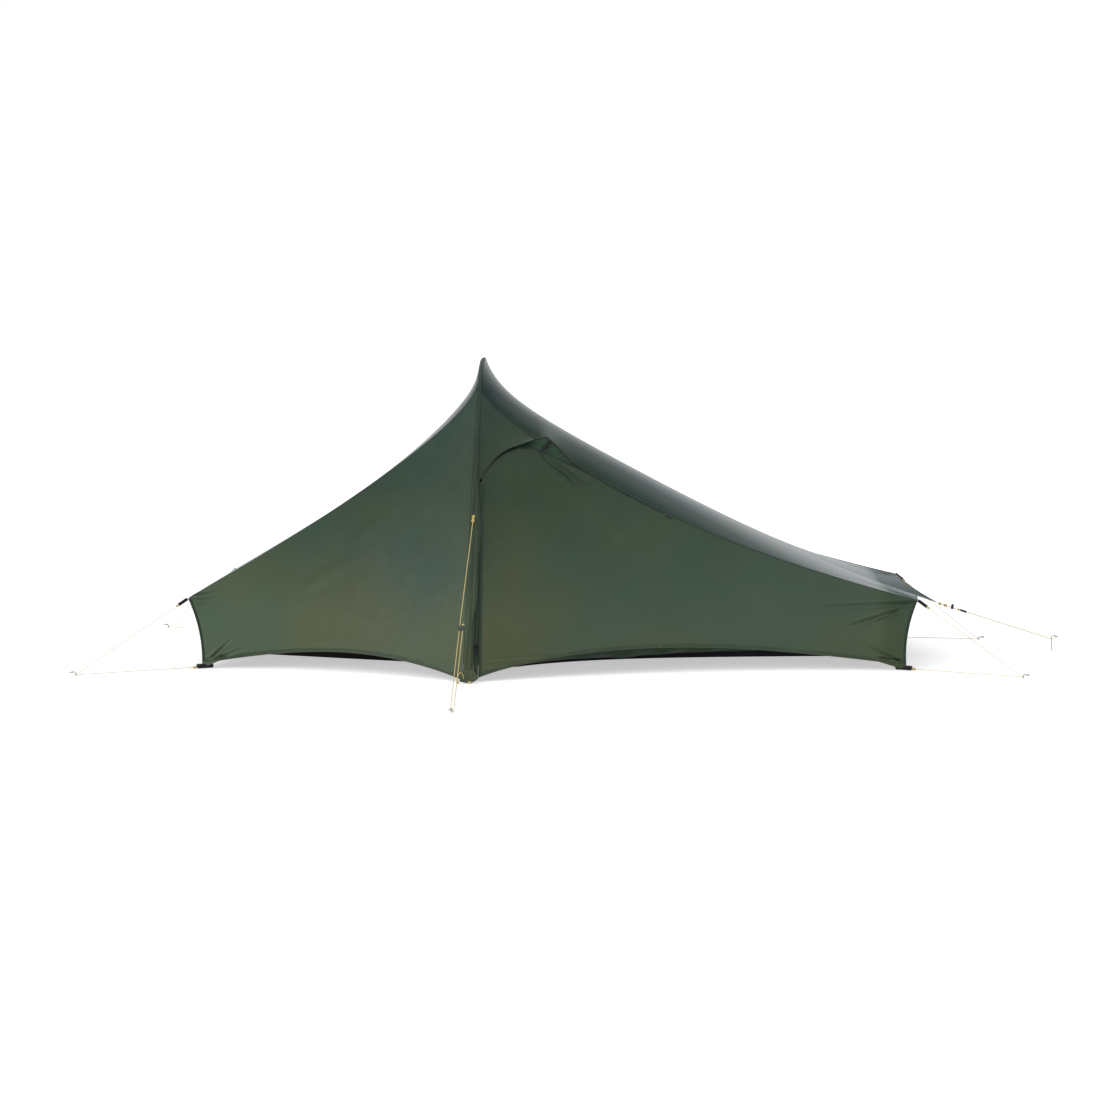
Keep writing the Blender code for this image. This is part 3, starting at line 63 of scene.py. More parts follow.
# Studio light: a white room and two very broad lamps, one overhead and one from the front
# left. The room is full white where the camera or a gloss sees it, and dimmer as a lamp.
class Value:
    """What a node gives at each place, a number or a colour, so that sums of it read as sums."""

    def __init__(self, socket):
        self.socket = socket

    def node(self, kind, inputs, output=0, **settings):
        """A further node of the same tree."""
        return add_node(self.socket.id_data, kind, inputs, output, **settings)

    def maths(self, operation, *others):
        return self.node("Math", dict(enumerate((self, *others))), operation=operation)

    def __add__(self, other):
        return self.maths("ADD", other)

    def __sub__(self, other):
        return self.maths("SUBTRACT", other)

    def __mul__(self, other):
        return self.maths("MULTIPLY", other)

    def __truediv__(self, other):
        return self.maths("DIVIDE", other)

    def __pow__(self, other):
        return self.maths("POWER", other)

    def __abs__(self):
        return self.maths("ABSOLUTE")

    def sine(self, rate):
        """Sine of this many radians for each unit of the value."""
        return (self * rate).maths("SINE")

    def parts(self):
        """Its X, Y and Z."""
        split = self.node("SeparateXYZ", {0: self}).socket.node
        return [Value(socket) for socket in split.outputs]

    def ramp(self, low, high, to_low, to_high):
        """The value from low to high, spread over to_low to to_high and held at both ends."""
        return self.node("MapRange", {"Value": self, "From Min": low, "From Max": high,
                                      "To Min": to_low, "To Max": to_high})

    def lines(self, pitch, width):
        """1 on a line of this width once in every pitch, and 0 between the lines."""
        away = abs((self / pitch).maths("FRACT") - 0.5)
        return away.ramp(0.5 - width / pitch, 0.5 - 0.4 * width / pitch, 0.0, 1.0)

    def blend(self, first, second):
        """Mix of two colours with this as the second one's share."""
        first, second = (tone if isinstance(tone, Value) else (*tone, 1.0) for tone in (first, second))
        return self.node("Mix", {0: self, 6: first, 7: second}, 2, data_type="RGBA")

    def noise(self, scale, detail=3.0, rough=0.5):
        return self.node("TexNoise", {"Vector": self, "Scale": scale, "Detail": detail,
                                      "Roughness": rough})

    def bump(self, strength, distance, **under):
        return self.node("Bump", {"Height": self, "Strength": strength, "Distance": distance, **under})


def wire(node, inputs):
    """Sets each input of a node to a plain value, or links a Value to it."""
    for socket, value in inputs.items():
        if isinstance(value, Value):
            node.id_data.links.new(value.socket, node.inputs[socket])
        else:
            node.inputs[socket].default_value = value


def add_node(tree, kind, inputs=None, output=0, **settings):
    """One node with its inputs and settings; returns the Value of one output."""
    node = tree.nodes.new("ShaderNode" + kind)
    for setting, value in settings.items():
        setattr(node, setting, value)
    wire(node, inputs or {})
    return Value(node.outputs[output])


def seen_rays(tree):
    """1 for the rays of the camera, of a gloss and of anything seen through, else 0."""
    seen, gloss, through = (add_node(tree, "LightPath", output=f"Is {ray} Ray")
                            for ray in ("Camera", "Glossy", "Transmission"))
    return seen.maths("MAXIMUM", gloss).maths("MAXIMUM", through)


bpy.context.scene.view_settings.view_transform = "Standard"
world = bpy.data.worlds.new("white_room")
world.use_nodes = True
bpy.context.scene.world = world
room = world.node_tree
room_light = room.nodes["Background"]
wire(room_light, {"Color": (0.96, 0.98, 1.0, 1.0), "Strength": 0.50})
room_white = add_node(room, "Background", {"Color": (1.0, 1.0, 1.0, 1.0), "Strength": 1.0})
wire(room.nodes["World Output"], {"Surface": add_node(
    room, "MixShader", {0: seen_rays(room), 1: Value(room_light.outputs[0]), 2: room_white})})

for lamp_name, turn, spread, strength in (("overhead_lamp", (-12.0, 8.0, 0.0), 80.0, 0.60),
                                          ("front_lamp", (64.0, 0.0, -52.0), 50.0, 1.15)):
    lamp_data = bpy.data.lights.new(lamp_name, "SUN")
    lamp_data.angle = math.radians(spread)
    lamp_data.energy = strength
    put(lamp_name, lamp_data).rotation_euler = [math.radians(angle) for angle in turn]


# The floor is a pale sheet of paper wide enough to reach the horizon. It glows a little
# for the camera and for gloss, so that it reads as white and still keeps the tent's shadow.
def new_finish(name):
    """A new material, and its shader's node."""
    finish = bpy.data.materials.new(name)
    finish.use_nodes = True
    return finish, finish.node_tree.nodes["Principled BSDF"]


def cloth_uv(finish):
    """The distances along a piece's run and across it, in metres."""
    return add_node(finish.node_tree, "UVMap", uv_map="cloth")


def object_place(finish):
    """Where each place of the surface is, in metres."""
    return add_node(finish.node_tree, "TexCoord", output="Object")


FLOOR_REACH, FLOOR_HEIGHT = 60.0, -0.0008
floor_mesh = bpy.data.meshes.new("studio_floor")
floor_mesh.from_pydata([(FLOOR_REACH * x, FLOOR_REACH * y, FLOOR_HEIGHT)
                        for x, y in ((-1, -1), (1, -1), (1, 1), (-1, 1))], [], [(0, 1, 2, 3)])
studio_floor = put("studio_floor", floor_mesh)
floor_paper, paper_shader = new_finish("floor_paper")
wire(paper_shader, {"Base Color": (0.84, 0.84, 0.84, 1.0), "Roughness": 0.9, "Specular IOR Level": 0.1})
paper = floor_paper.node_tree
paper_glow = add_node(paper, "Emission", {"Strength": seen_rays(paper) * 0.52})
paper_sum = add_node(paper, "AddShader", {0: Value(paper_shader.outputs[0]), 1: paper_glow})
wire(paper.nodes["Material Output"], {"Surface": paper_sum})
floor_mesh.materials.append(floor_paper)


# Guy lines: thin braided yellow cord. At each corner one line runs from the top tab down to
# the peg, turns round it and comes back to the foot of the strut, and is knotted at both ends.
# The arch's two lines and the foot end's line are a little thicker. Each runs through its
# adjuster, round the peg and back into the adjuster, so that its length can be set.
HEAD, FOOT, FRONT, BACK = -1, 1, -1, 1
UP = (0.0, 0.0, 1.0)


def mix(a, b, share):
    """Straight line from a to b."""
    return a + (b - a) * share


def unit(vectors):
    """The same directions at length 1: each divided by its own length."""
    return vectors / np.linalg.norm(vectors, axis=-1, keepdims=True)


def run_length(line):
    """Length of a line of points: the sum of its steps."""
    return float(np.linalg.norm(np.diff(line, axis=0), axis=-1).sum())


def surface(name, points, finish, inside, thickness=0.0, ring=False, caps=0):
    """Mesh over a grid of points, rows by columns. ring joins the last column to the first, and
    caps closes a ring's first row, or both ends if it is 2. The faces look away from inside.
    The UV map is in metres: distance along the rows' run, and distance along each row. The
    edges of the grid's rim are sharp, so that a cloth's border doesn't look rounded."""
    points = np.asarray(points, dtype=float)
    rows, columns = points.shape[:2]
    wrapped = np.concatenate([points, points[:, :1]], axis=1)
    across = np.linalg.norm(np.diff(wrapped, axis=1), axis=-1)
    across = np.concatenate([np.zeros((rows, 1)), np.cumsum(across, axis=1)], axis=1)
    along = np.linalg.norm(np.diff(wrapped, axis=0), axis=-1).mean(axis=1)
    along = np.concatenate([[0.0], np.cumsum(along)])[:, None] + np.zeros((1, columns + 1))
    uv = np.stack([along, across], axis=-1)
    i, j = np.meshgrid(np.arange(rows - 1), np.arange(columns if ring else columns - 1), indexing="ij")
    corner_i, corner_j = i.reshape(-1, 1) + [[0, 0, 1, 1]], j.reshape(-1, 1) + [[0, 1, 1, 0]]
    faces = corner_i * columns + corner_j % columns
    flat = points.reshape(-1, 3)
    normals = np.cross(flat[faces[:, 2]] - flat[faces[:, 0]], flat[faces[:, 3]] - flat[faces[:, 1]])
    away = flat[faces[:, 0]] - (np.zeros_like(points) + inside).reshape(-1, 3)[faces[:, 0]]
    turned = np.sum(normals * away) < 0.0
    if turned:
        faces, corner_i, corner_j = faces[:, ::-1], corner_i[:, ::-1], corner_j[:, ::-1]
    faces = faces.tolist()
    first, last = list(range(columns)), list(range((rows - 1) * columns, rows * columns))
    faces += ([first, last[::-1]] if turned else [first[::-1], last])[:caps]
    mesh = bpy.data.meshes.new(name)
    mesh.from_pydata(flat.tolist(), [], faces)
    uvs = np.zeros((len(mesh.loops), 2))
    uvs[:corner_i.size] = uv[corner_i.ravel(), corner_j.ravel()]
    mesh.uv_layers.new(name="cloth").uv.foreach_set("vector", uvs.ravel())
    mesh.shade_smooth()
    mesh.update()
    row, column = np.divmod(np.arange(rows * columns), columns)
    rim = (row == 0) | (row == rows - 1) | (not ring and (column == 0) | (column == columns - 1))
    ends = np.zeros(len(mesh.edges) * 2, dtype=int)
    mesh.edges.foreach_get("vertices", ends)
    sharp = mesh.attributes.new("sharp_edge", "BOOLEAN", "EDGE")
    sharp.data.foreach_set("value", rim[ends].reshape(-1, 2).all(axis=1))
    mesh.materials.append(finish)
    obj = put(name, mesh)
    if thickness:
        cloth_layer = obj.modifiers.new("thickness", "SOLIDIFY")
        cloth_layer.thickness = thickness
        cloth_layer.offset = -1.0
    return obj


def fix(obj, node=None, body="shelter"):
    """The piece rides on a body, and may stand for a solid."""
    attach(obj, body)
    if node:
        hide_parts(node)
    return obj


def tube_points(path, radius, sides=8, upright=UP):
    """Rings round a path: each is path + radius (cos a side + sin a up), with side square to
    the path's direction and to upright. The radius may change from ring to ring."""
    ahead = unit(np.gradient(path, axis=0))
    side = unit(np.cross(ahead, upright))
    up = np.cross(side, ahead)
    angle = np.linspace(0.0, 2.0 * np.pi, sides, endpoint=False)
    ring = np.cos(angle)[None, :, None] * side[:, None] + np.sin(angle)[None, :, None] * up[:, None]
    return path[:, None] + ring * (np.zeros(len(path)) + radius)[:, None, None]


def round_piece(name, path, radius, finish, node=None, sides=8, upright=UP):
    """Closed tube along a path."""
    tube = surface(name, tube_points(path, radius, sides, upright), finish, path[:, None],
                   ring=True, caps=2)
    return fix(tube, node)


def straight(a, b, step=0.004):
    """Points from a towards b at about one step each, without b."""
    a, b = np.asarray(a, dtype=float), np.asarray(b, dtype=float)
    count = max(2, int(np.linalg.norm(b - a) / step))
    return mix(a, b, np.arange(count)[:, None] / count)


def line_round_peg(start, finish, peg, height, radius):
    """Taut line: straight to the peg, a half circle round it of 2.1 diameters' radius that
    touches the peg on the far side, and straight back. Points in order from start."""
    start, peg = np.array(start), np.array(peg)
    turn, peg_radius = 4.2 * radius, 0.0023
    towards = unit(start[:2] - peg)
    across = np.array([-towards[1], towards[0], 0.0])
    towards = np.append(towards, 0.0)
    middle = np.append(peg, height) + towards * (turn - peg_radius - radius)
    angle = np.linspace(0.0, np.pi, 15)[:, None]
    arc = middle + across * turn * np.cos(angle) - towards * turn * np.sin(angle)
    return np.concatenate([straight(start, arc[0]), arc, straight(finish, arc[-1])[::-1]])


def cord_finish(name, colour, fleck, sheen):
    """Braided cord: two sets of strands cross over each other, and a darker fleck comes once
    in each repeat. The strands are sine waves of length plus and minus turn, from the UV map."""
    finish, shader = new_finish(name)
    along, round_it, _ = cloth_uv(finish).parts()
    strands = [(along + round_it * slant).sine(2200.0) for slant in (1.6, -1.6)]
    crossed = strands[0] * strands[1]
    wire(shader, {"Base Color": crossed.ramp(0.35, 0.95, 0.0, 0.75).blend(colour, fleck),
                  "Normal": crossed.bump(0.6, 0.0003), "Roughness": 0.55,
                  "Sheen Weight": sheen, "Sheen Roughness": 0.4})
    return finish


guy_braid = cord_finish("guy_braid", (0.80, 0.62, 0.22), (0.68, 0.50, 0.15), 0.25)


def knot(name, centre, ahead, cord_radius, turns):
    """Barrel knot: a helix of cord round the line, its radius drawn in at both ends."""
    ahead = unit(np.asarray(ahead))
    side = unit(np.cross(ahead, (0.13, 0.31, 0.94)))
    up = np.cross(side, ahead)
    share = np.linspace(0.0, 1.0, int(14 * turns))[:, None]
    angle = 2.0 * np.pi * turns * share
    reach = cord_radius * (0.7 + 1.35 * np.sin(np.pi * share) ** 0.5)
    path = (centre + ahead * (share - 0.5) * cord_radius * 2.1 * turns
            + reach * (np.cos(angle) * side + np.sin(angle) * up))
    return round_piece(name, path, cord_radius * 0.98, guy_braid, upright=ahead)


def guy_line(place, route, radius, knots):
    """A line and its knots, each given as a name, its point, the two points that it lies
    between, its radius and its turns."""
    line = round_piece(f"line_{place}", route, radius, guy_braid, f"guy_{place}")
    tied = [knot(f"{name}_knot_{place}", route[at], route[after] - route[before], size, turns)
            for name, at, before, after, size, turns in knots]


CORNER_LINE, MAIN_LINE = 0.0009, 0.00125
for place, tab_end, pocket_end, peg in (
        ("front_head", (-1.27442, -0.48599, 0.21949), (-1.21725, -0.47339, 0.0045), (-1.589, -0.657)),
        ("back_head", (-1.27433, 0.47793, 0.21506), (-1.22061, 0.46446, 0.0045), (-1.526, 0.546)),
        ("front_foot", (1.26465, -0.42461, 0.21879), (1.2178, -0.41226, 0.0045), (1.570, -0.575)),
        ("back_foot", (1.26548, 0.41697, 0.21618), (1.22183, 0.38561, 0.0045), (1.541, 0.343))):
    guy_line(place, line_round_peg(tab_end, pocket_end, peg, 0.0045, CORNER_LINE), CORNER_LINE,
             (("upper", 1, 0, 2, 0.0014, 4.0), ("lower", -3, -5, -2, 0.0016, 3.0)))
for place, start, parallel, last, peg, height in (
        ("hoop_front", (-0.268, -0.47163, 0.5247), (-0.27325, -0.96955, 0.22294),
         (-0.26275, -0.97297, 0.22087), (-0.268, -1.330), 0.0045),
        ("hoop_back", (-0.268, 0.47163, 0.5247), (-0.26275, 0.96955, 0.22294),
         (-0.27325, 0.97297, 0.22087), (-0.268, 1.330), 0.0045),
        ("foot_end", (1.35256, 0.00011, 0.17933), (1.42376, 0.00852, 0.15618),
         (1.42551, 0.01955, 0.15494), (1.766, 0.080), 0.043)):
    guy_line(place, np.concatenate([straight(start, parallel),
                                    line_round_peg(parallel, last, peg, height, MAIN_LINE)]), MAIN_LINE,
             (("first", 1, 0, 2, 0.0021, 2.0), ("second", 6, 5, 7, 0.0019, 3.0),
              ("end", -1, -3, -1, 0.0016, 2.0)))


# Pole: one arch of six tubes in anodised alloy, pushed together at spigots and strung on an
# elastic cord. The tubes keep their solids; the cord in their bore is drawn again as a braid.
HOOP_X, HOOP_HALF, CROWN = -0.268, 0.735, 1.0435
CROWN_RADIUS = 0.240
CROWN_ANGLE = math.radians(35.0)
CROWN_CENTRE = CROWN - CROWN_RADIUS
JUNCTION_Y = CROWN_RADIUS * math.cos(CROWN_ANGLE)
JUNCTION_Z = CROWN_CENTRE + CROWN_RADIUS * math.sin(CROWN_ANGLE)
leg_chord = math.hypot(HOOP_HALF - JUNCTION_Y, JUNCTION_Z)
chord_angle = math.atan2(HOOP_HALF - JUNCTION_Y, JUNCTION_Z)
LEG_RADIUS = leg_chord / (2.0 * math.sin(CROWN_ANGLE - chord_angle))
LEG_FOOT_ANGLE = 2.0 * chord_angle - CROWN_ANGLE
LEG_CENTRE_Y = JUNCTION_Y - LEG_RADIUS * math.cos(CROWN_ANGLE)
LEG_CENTRE_Z = JUNCTION_Z - LEG_RADIUS * math.sin(CROWN_ANGLE)
LEG_LENGTH = LEG_RADIUS * (CROWN_ANGLE - LEG_FOOT_ANGLE)
POLE_LENGTH = 2.0 * LEG_LENGTH + CROWN_RADIUS * (math.pi - 2.0 * CROWN_ANGLE)


def leg_point(share):
    """Distance from the middle plane and height on a leg: a point of the leg's circle, whose
    angle goes evenly from the foot to the crown."""
    angle = mix(LEG_FOOT_ANGLE, CROWN_ANGLE, share)
    return LEG_CENTRE_Y + LEG_RADIUS * np.cos(angle), LEG_CENTRE_Z + LEG_RADIUS * np.sin(angle)


def leg_share(height):
    """The share of the leg at which it has this height."""
    angle = math.asin((height - LEG_CENTRE_Z) / LEG_RADIUS)
    return (angle - LEG_FOOT_ANGLE) / (CROWN_ANGLE - LEG_FOOT_ANGLE)


def pole_frames(distance):
    """Points and outward directions along the pole from its front foot: two leg circles and
    the crown's circle, each point its centre plus the radius times the outward direction."""
    from_foot = np.minimum(distance, POLE_LENGTH - distance)
    on_leg = from_foot < LEG_LENGTH
    angle = np.where(on_leg, mix(LEG_FOOT_ANGLE, CROWN_ANGLE, from_foot / LEG_LENGTH),
                     CROWN_ANGLE + (from_foot - LEG_LENGTH) / CROWN_RADIUS)
    side = np.where(distance < POLE_LENGTH / 2.0, -1.0, 1.0)
    centre_y, centre_z, radius = (np.where(on_leg, leg, crown) for leg, crown in (
        (LEG_CENTRE_Y, 0.0), (LEG_CENTRE_Z, CROWN_CENTRE), (LEG_RADIUS, CROWN_RADIUS)))
    y, z = centre_y + radius * np.cos(angle), centre_z + radius * np.sin(angle)
    outward = np.stack([0.0 * angle, side * np.cos(angle), np.sin(angle)], axis=-1)
    return np.stack([HOOP_X + 0.0 * y, side * y, z], axis=-1), outward


def toned(colour, factor, lift=0.0):
    """A colour made darker or lighter."""
    return tuple(min(1.0, part * factor + lift) for part in colour)


def alloy_finish(name, colour, roughness, scratch_scale):
    """Anodised alloy: fine scratches drawn out along the piece, and a duller bloom in patches."""
    finish, shader = new_finish(name)
    place = object_place(finish)
    scratch = place.node("Mapping", {"Vector": place, "Scale": scratch_scale}).noise(900.0)
    wire(shader, {"Base Color": scratch.blend(toned(colour, 0.72), toned(colour, 1.15)),
                  "Roughness": place.noise(38.0, 4.0).ramp(0.35, 0.7, roughness, roughness + 0.22),
                  "Normal": scratch.bump(0.25, 0.00012), "Metallic": 1.0})
    return finish


def dress(finish, *nodes):
    """Gives solids of the frame their finish."""
    for node in nodes:
        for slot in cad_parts[node].material_slots:
            slot.material = finish


pole_alloy = alloy_finish("pole_alloy_finish", (0.42, 0.43, 0.44), 0.24, (1.0, 0.12, 0.06))
dress(pole_alloy, *(f"pole_section_{number}" for number in range(1, 7)))

elastic_braid = cord_finish("elastic_braid", (0.020, 0.020, 0.022), (0.16, 0.16, 0.16), 0.2)
END_PLUG = 0.009                    # the elastic starts this far inside the pole's foot
elastic_path, _ = pole_frames(np.linspace(END_PLUG, POLE_LENGTH - END_PLUG, 240))
round_piece("pole_elastic", elastic_path, 0.0018, elastic_braid, "pole_shock_cord",
            upright=(1.0, 0.0, 0.0))


# Flysheet cloth: coated polyester, plain weave with a ripstop grid, dark green. Each panel is
# one stretched sheet on its own curved surface, with the creases that the tension draws.
FLY, THIN = 0.0005, 0.0004          # thickness of the flysheet and of lighter cloth
SEAM_GAP = 0.0007                   # between a sheet's edge and its neighbour's
HEAD_HALF, FOOT_HALF = 0.470, 0.410
CORNER_X, CORNER_TOP, HEM_LOW, HEM_CORNER = 1.2, 0.240, 0.006, 0.018
CUSP = 0.036                        # how far the roof seam rises beside the pole
WITHIN = (0.0, 0.0, 0.3)            # a place inside the tent, which the cloth faces away from


def cloth_finish(name, colour, bluer, painted_glow_colour, roughness, gloss, sheen, ripstop=0.005,
                 dust=(0.16, 0.15, 0.12), relief_depth=1.0, sheen_tint=(0.80, 0.88, 0.86, 1.0)):
    """Woven cloth. Threads are sine waves of the UV distances, 0.45 mm apart; a thicker thread
    comes every ripstop distance. Colour drifts softly between two tones. As painted light, it
    turns to the paler glow colour towards the ground and grows paler still towards the head end,
    where light comes through the cloth. It is faded in patches, and a little dust lies along the
    lowest edge. The gloss is painted away at the foot end, where the cloth turns from the light."""
    finish, shader = new_finish(name)
    along, across, _ = cloth_uv(finish).parts()
    place = object_place(finish)
    x, _, height = place.parts()
    grid = along.lines(ripstop, 0.0007).maths("MAXIMUM", across.lines(ripstop, 0.0007))
    relief = along.sine(14000.0) * across.sine(14000.0) * 0.35 + grid
    soft = place.noise(2.4).ramp(0.32, 0.68, 0.0, 1.0).blend(colour, bluer)
    # Painted light: the colour turns to the glow colour low down, and the next steps make it paler towards
    # the head end, as light shining through the thin cloth.
    lower = (height + place.noise(3.1) * 0.25).ramp(0.28, 0.74, 1.0, 0.0).blend(soft, painted_glow_colour)
    patch = place.noise(1.9, 2.0).ramp(0.38, 0.62, 0.0, 1.0)
    tint = patch.blend((1.17, 1.0, 0.80), (0.90, 1.0, 1.12))
    tinted = lower.node("VectorMath", {0: lower, 1: tint}, operation="MULTIPLY")
    through = lower.node("VectorMath", {0: tinted, "Scale": x.ramp(-1.22, -0.70, 1.50, 1.0)},
                         operation="SCALE")
    worn = place.noise(17.0, 5.0, 0.62).ramp(0.52, 0.78, 0.0, 0.10)
    faded = worn.blend(through, toned(painted_glow_colour, 1.35, 0.006))
    thread = (grid * 0.22).blend(faded, toned(colour, 0.62))
    dusty = (height.ramp(0.0, 0.09, 1.0, 0.0) ** 1.6
             * place.noise(55.0, 6.0, 0.65).ramp(0.44, 0.70, 0.0, 0.15))
    uneven = place.noise(31.0, 4.0).ramp(0.3, 0.7, roughness - 0.05 * relief_depth,
                                         roughness + 0.09 * relief_depth)
    weave = relief.bump(0.35 * relief_depth, 0.00016)
    wire(shader, {"Base Color": dusty.blend(thread, dust), "Roughness": uneven + dusty * 0.4,
                  "Normal": place.noise(14.0).bump(0.22 * relief_depth, 0.0010, Normal=weave),
                  "Specular IOR Level": x.ramp(1.10, 1.145, gloss, 0.1 * gloss),
                  "Specular Tint": (0.88, 0.97, 1.0, 1.0), "Sheen Weight": sheen,
                  "Sheen Roughness": 0.45, "Sheen Tint": sheen_tint})
    return finish


def stitch_finish(name, colour, thread_colour, width, roughness=0.5):
    """Seam tape or folded hem: the cloth's own weave, a pressed edge on both sides and two rows
    of lock stitches, 2.6 mm long with 0.9 mm gaps, at a fifth and at four fifths of the width."""
    finish, shader = new_finish(name)
    along, across, _ = cloth_uv(finish).parts()
    place = object_place(finish)
    off_middle = abs(across / width - 0.5)
    row = abs(off_middle - 0.3)
    dash = abs((along / 0.0035).maths("FRACT") - 0.5).ramp(0.34, 0.40, 1.0, 0.0)
    stitch = row.ramp(0.00028 / width, 0.00050 / width, 1.0, 0.0) * dash
    rub = off_middle.ramp(0.38, 0.5, 0.0, 1.0) * place.noise(70.0, 5.0).ramp(0.4, 0.7, 0.0, 0.6)
    body = place.noise(9.0, 4.0).ramp(0.3, 0.7, 0.0, 1.0).blend(colour, toned(colour, 0.78))
    rubbed = rub.blend(body, toned(colour, 1.7, 0.012))
    sewn = (along.sine(12500.0) * across.sine(12500.0) * 0.25 + stitch * 1.4
            - row.ramp(0.0, 0.09, 1.0, 0.0) * 0.9)
    wire(shader, {"Base Color": stitch.blend(rubbed, thread_colour), "Normal": sewn.bump(0.6, 0.00025),
                  "Roughness": place.noise(45.0, 4.0).ramp(0.3, 0.7, roughness - 0.06, roughness + 0.10),
                  "Specular IOR Level": 0.2, "Sheen Weight": 0.02})
    return finish


fly_green = cloth_finish("fly_green_cloth", (0.026, 0.053, 0.029), (0.023, 0.048, 0.033),
                         (0.076, 0.104, 0.061), 0.42, 0.22, 0.02)
seam_green = stitch_finish("fly_seam", (0.024, 0.045, 0.027), (0.044, 0.070, 0.044), 0.009)
hem_green = stitch_finish("fly_hem", (0.058, 0.082, 0.048), (0.070, 0.098, 0.058), 0.013)
facing_green = stitch_finish("zip_facing", (0.034, 0.059, 0.034), (0.046, 0.074, 0.046), 0.012)
dark_binding = stitch_finish("dark_binding", (0.012, 0.015, 0.013), (0.035, 0.042, 0.036), 0.007)


def hump(t):
    """Parabola that is 0 at both ends and 1 in the middle."""
    return 4.0 * t * (1.0 - t)


def early_hump(t):
    """Hump that is 0 at both ends and 1 at a third of the way."""
    return 6.75 * t * (1.0 - t) ** 2


def half_width(end):
    """Half the flysheet's width at its head or foot end."""
    return HEAD_HALF if end == HEAD else FOOT_HALF


def sleeve_half_width(height):
    """The pole sleeve is 18 mm to each side at the ground and 6.5 mm at the crown."""
    return mix(0.018, 0.0065, np.clip(height / JUNCTION_Z, 0.0, 1.0))


def corner_x(end, share):
    """X of a corner's upright edge, 0 at the hem and 1 at the top: it leans out and bows in."""
    return end * (CORNER_X + (0.045 if end == HEAD else 0.035) * share - 0.013 * hump(share))


def roof_start_x(end):
    """X at which the roof starts: clear of the sleeve's top by the seam gap."""
    return HOOP_X + end * (0.0065 + SEAM_GAP + 0.00048)


def seam_height(end, t):
    """Height of the roof seam: a straight fall, less two sags, and a cusp beside the pole."""
    near, far, cusp_length = (0.031, 0.015, 0.044) if end == HEAD else (0.070, 0.046, 0.028)
    run = abs(corner_x(end, 1.0) - roof_start_x(end))
    return (mix(JUNCTION_Z - CUSP, CORNER_TOP, t) - near * early_hump(t) - far * early_hump(1.0 - t)
            + CUSP * np.exp(-t * run / cusp_length))


def crown_shape(s):
    """Section of the crown's circle, 1 in the middle and 0 at the seams."""
    edge = math.sqrt(CROWN_RADIUS ** 2 - JUNCTION_Y ** 2)
    return (np.sqrt(CROWN_RADIUS ** 2 - (s * JUNCTION_Y) ** 2) - edge) / (CROWN_RADIUS - edge)


def vent_lift(t):
    """How far the vent's prop holds up the front edge of the roof: a bell curve, steeper on
    the hood's side."""
    return 0.032 * np.exp(-((t - 0.154) / np.where(t < 0.154, 0.018, 0.040)) ** 2)


def roof_point(end, t, s):
    """Roof, t from the pole to the end and s from the front seam to the back one: the seam
    height plus a crown section, whose rise dies away from the pole; the foot end's middle runs
    out into the tab of the guy line."""
    t, s = np.broadcast_arrays(np.asarray(t, dtype=float), np.asarray(s, dtype=float))
    steady, bulge, peak = (0.052, -0.027, 0.0115) if end == HEAD else (0.0155, 0.069, 0.114)
    run = abs(corner_x(end, 1.0) - roof_start_x(end))
    rise = (steady * (1.0 - t) + bulge * early_hump(t)
            + (CROWN_RADIUS + CROWN_CENTRE - JUNCTION_Z - steady) * np.exp(-t * run / peak))
    x = mix(roof_start_x(end), corner_x(end, 1.0), t)
    z = seam_height(end, t) + rise * crown_shape(s)
    if end == FOOT:
        tab = 0.117 * np.exp(-np.abs(s) / 0.30) * t ** 6
        x = x + tab
        z = z - 0.517 * tab + vent_lift(t) * np.clip(-s, 0.0, 1.0) ** 4
    return np.stack([x, s * mix(JUNCTION_Y, half_width(end), t), z], axis=-1)


def hem_point(end, side, t):
    """Lower edge of a wall: bowed in towards the tent and lifted between its ends."""
    lift, skew = (0.053, 0.86) if end == HEAD else (0.074, 0.75)
    x = mix(HOOP_X + end * (0.018 + SEAM_GAP), corner_x(end, 0.0), t)
    y = side * (mix(HOOP_HALF, half_width(end), t) - 0.1 * hump(t))
    return np.stack([x, y, mix(HEM_LOW, HEM_CORNER, t) + lift * np.sin(np.pi * t ** skew)], axis=-1)


def seam_point(end, side, t):
    """Roof seam: X and Y go straight from the pole to the corner, and Z is the seam's height."""
    return np.stack([mix(roof_start_x(end), corner_x(end, 1.0), t),
                     side * mix(JUNCTION_Y, half_width(end), t), seam_height(end, t)], axis=-1)


def wall_point(end, side, t, v):
    """Side wall, t from the pole to the corner and v from the hem to the roof seam: the smooth
    sheet spanned by its four edge curves (a Coons patch)."""
    t, v = np.broadcast_arrays(np.asarray(t, dtype=float), np.asarray(v, dtype=float))
    y, z = leg_point(mix(leg_share(HEM_LOW), 1.0, v))
    pole_edge = np.stack([HOOP_X + end * (sleeve_half_width(z) + SEAM_GAP), side * y, z], axis=-1)
    corner_edge = np.stack([corner_x(end, v), side * half_width(end) + 0.0 * v,
                            mix(HEM_CORNER, CORNER_TOP, v)], axis=-1)
    t3, v3 = t[..., None], v[..., None]
    low, high = (mix(edge(end, side, 0.0 * t), edge(end, side, 0.0 * t + 1.0), t3)
                 for edge in (hem_point, seam_point))
    return (mix(hem_point(end, side, t), seam_point(end, side, t), v3)
            + mix(pole_edge, corner_edge, t3) - mix(low, high, v3))


def outward_of(points, inside=WITHIN):
    """Unit normals of a grid of points, from its row and column differences, all turned to
    the side that looks away from inside."""
    normals = unit(np.cross(np.gradient(points, axis=0), np.gradient(points, axis=1)) + 1e-15)
    return normals * np.sign(np.sum(normals * (points - inside)))


def folds(at, pairs, width, depth):
    """Creases between pairs of places on a surface, each given by the surface's own two shares."""
    ends = np.array(pairs)
    return [(a, b, width, depth) for a, b in zip(at(*ends[:, 0].T), at(*ends[:, 1].T))]


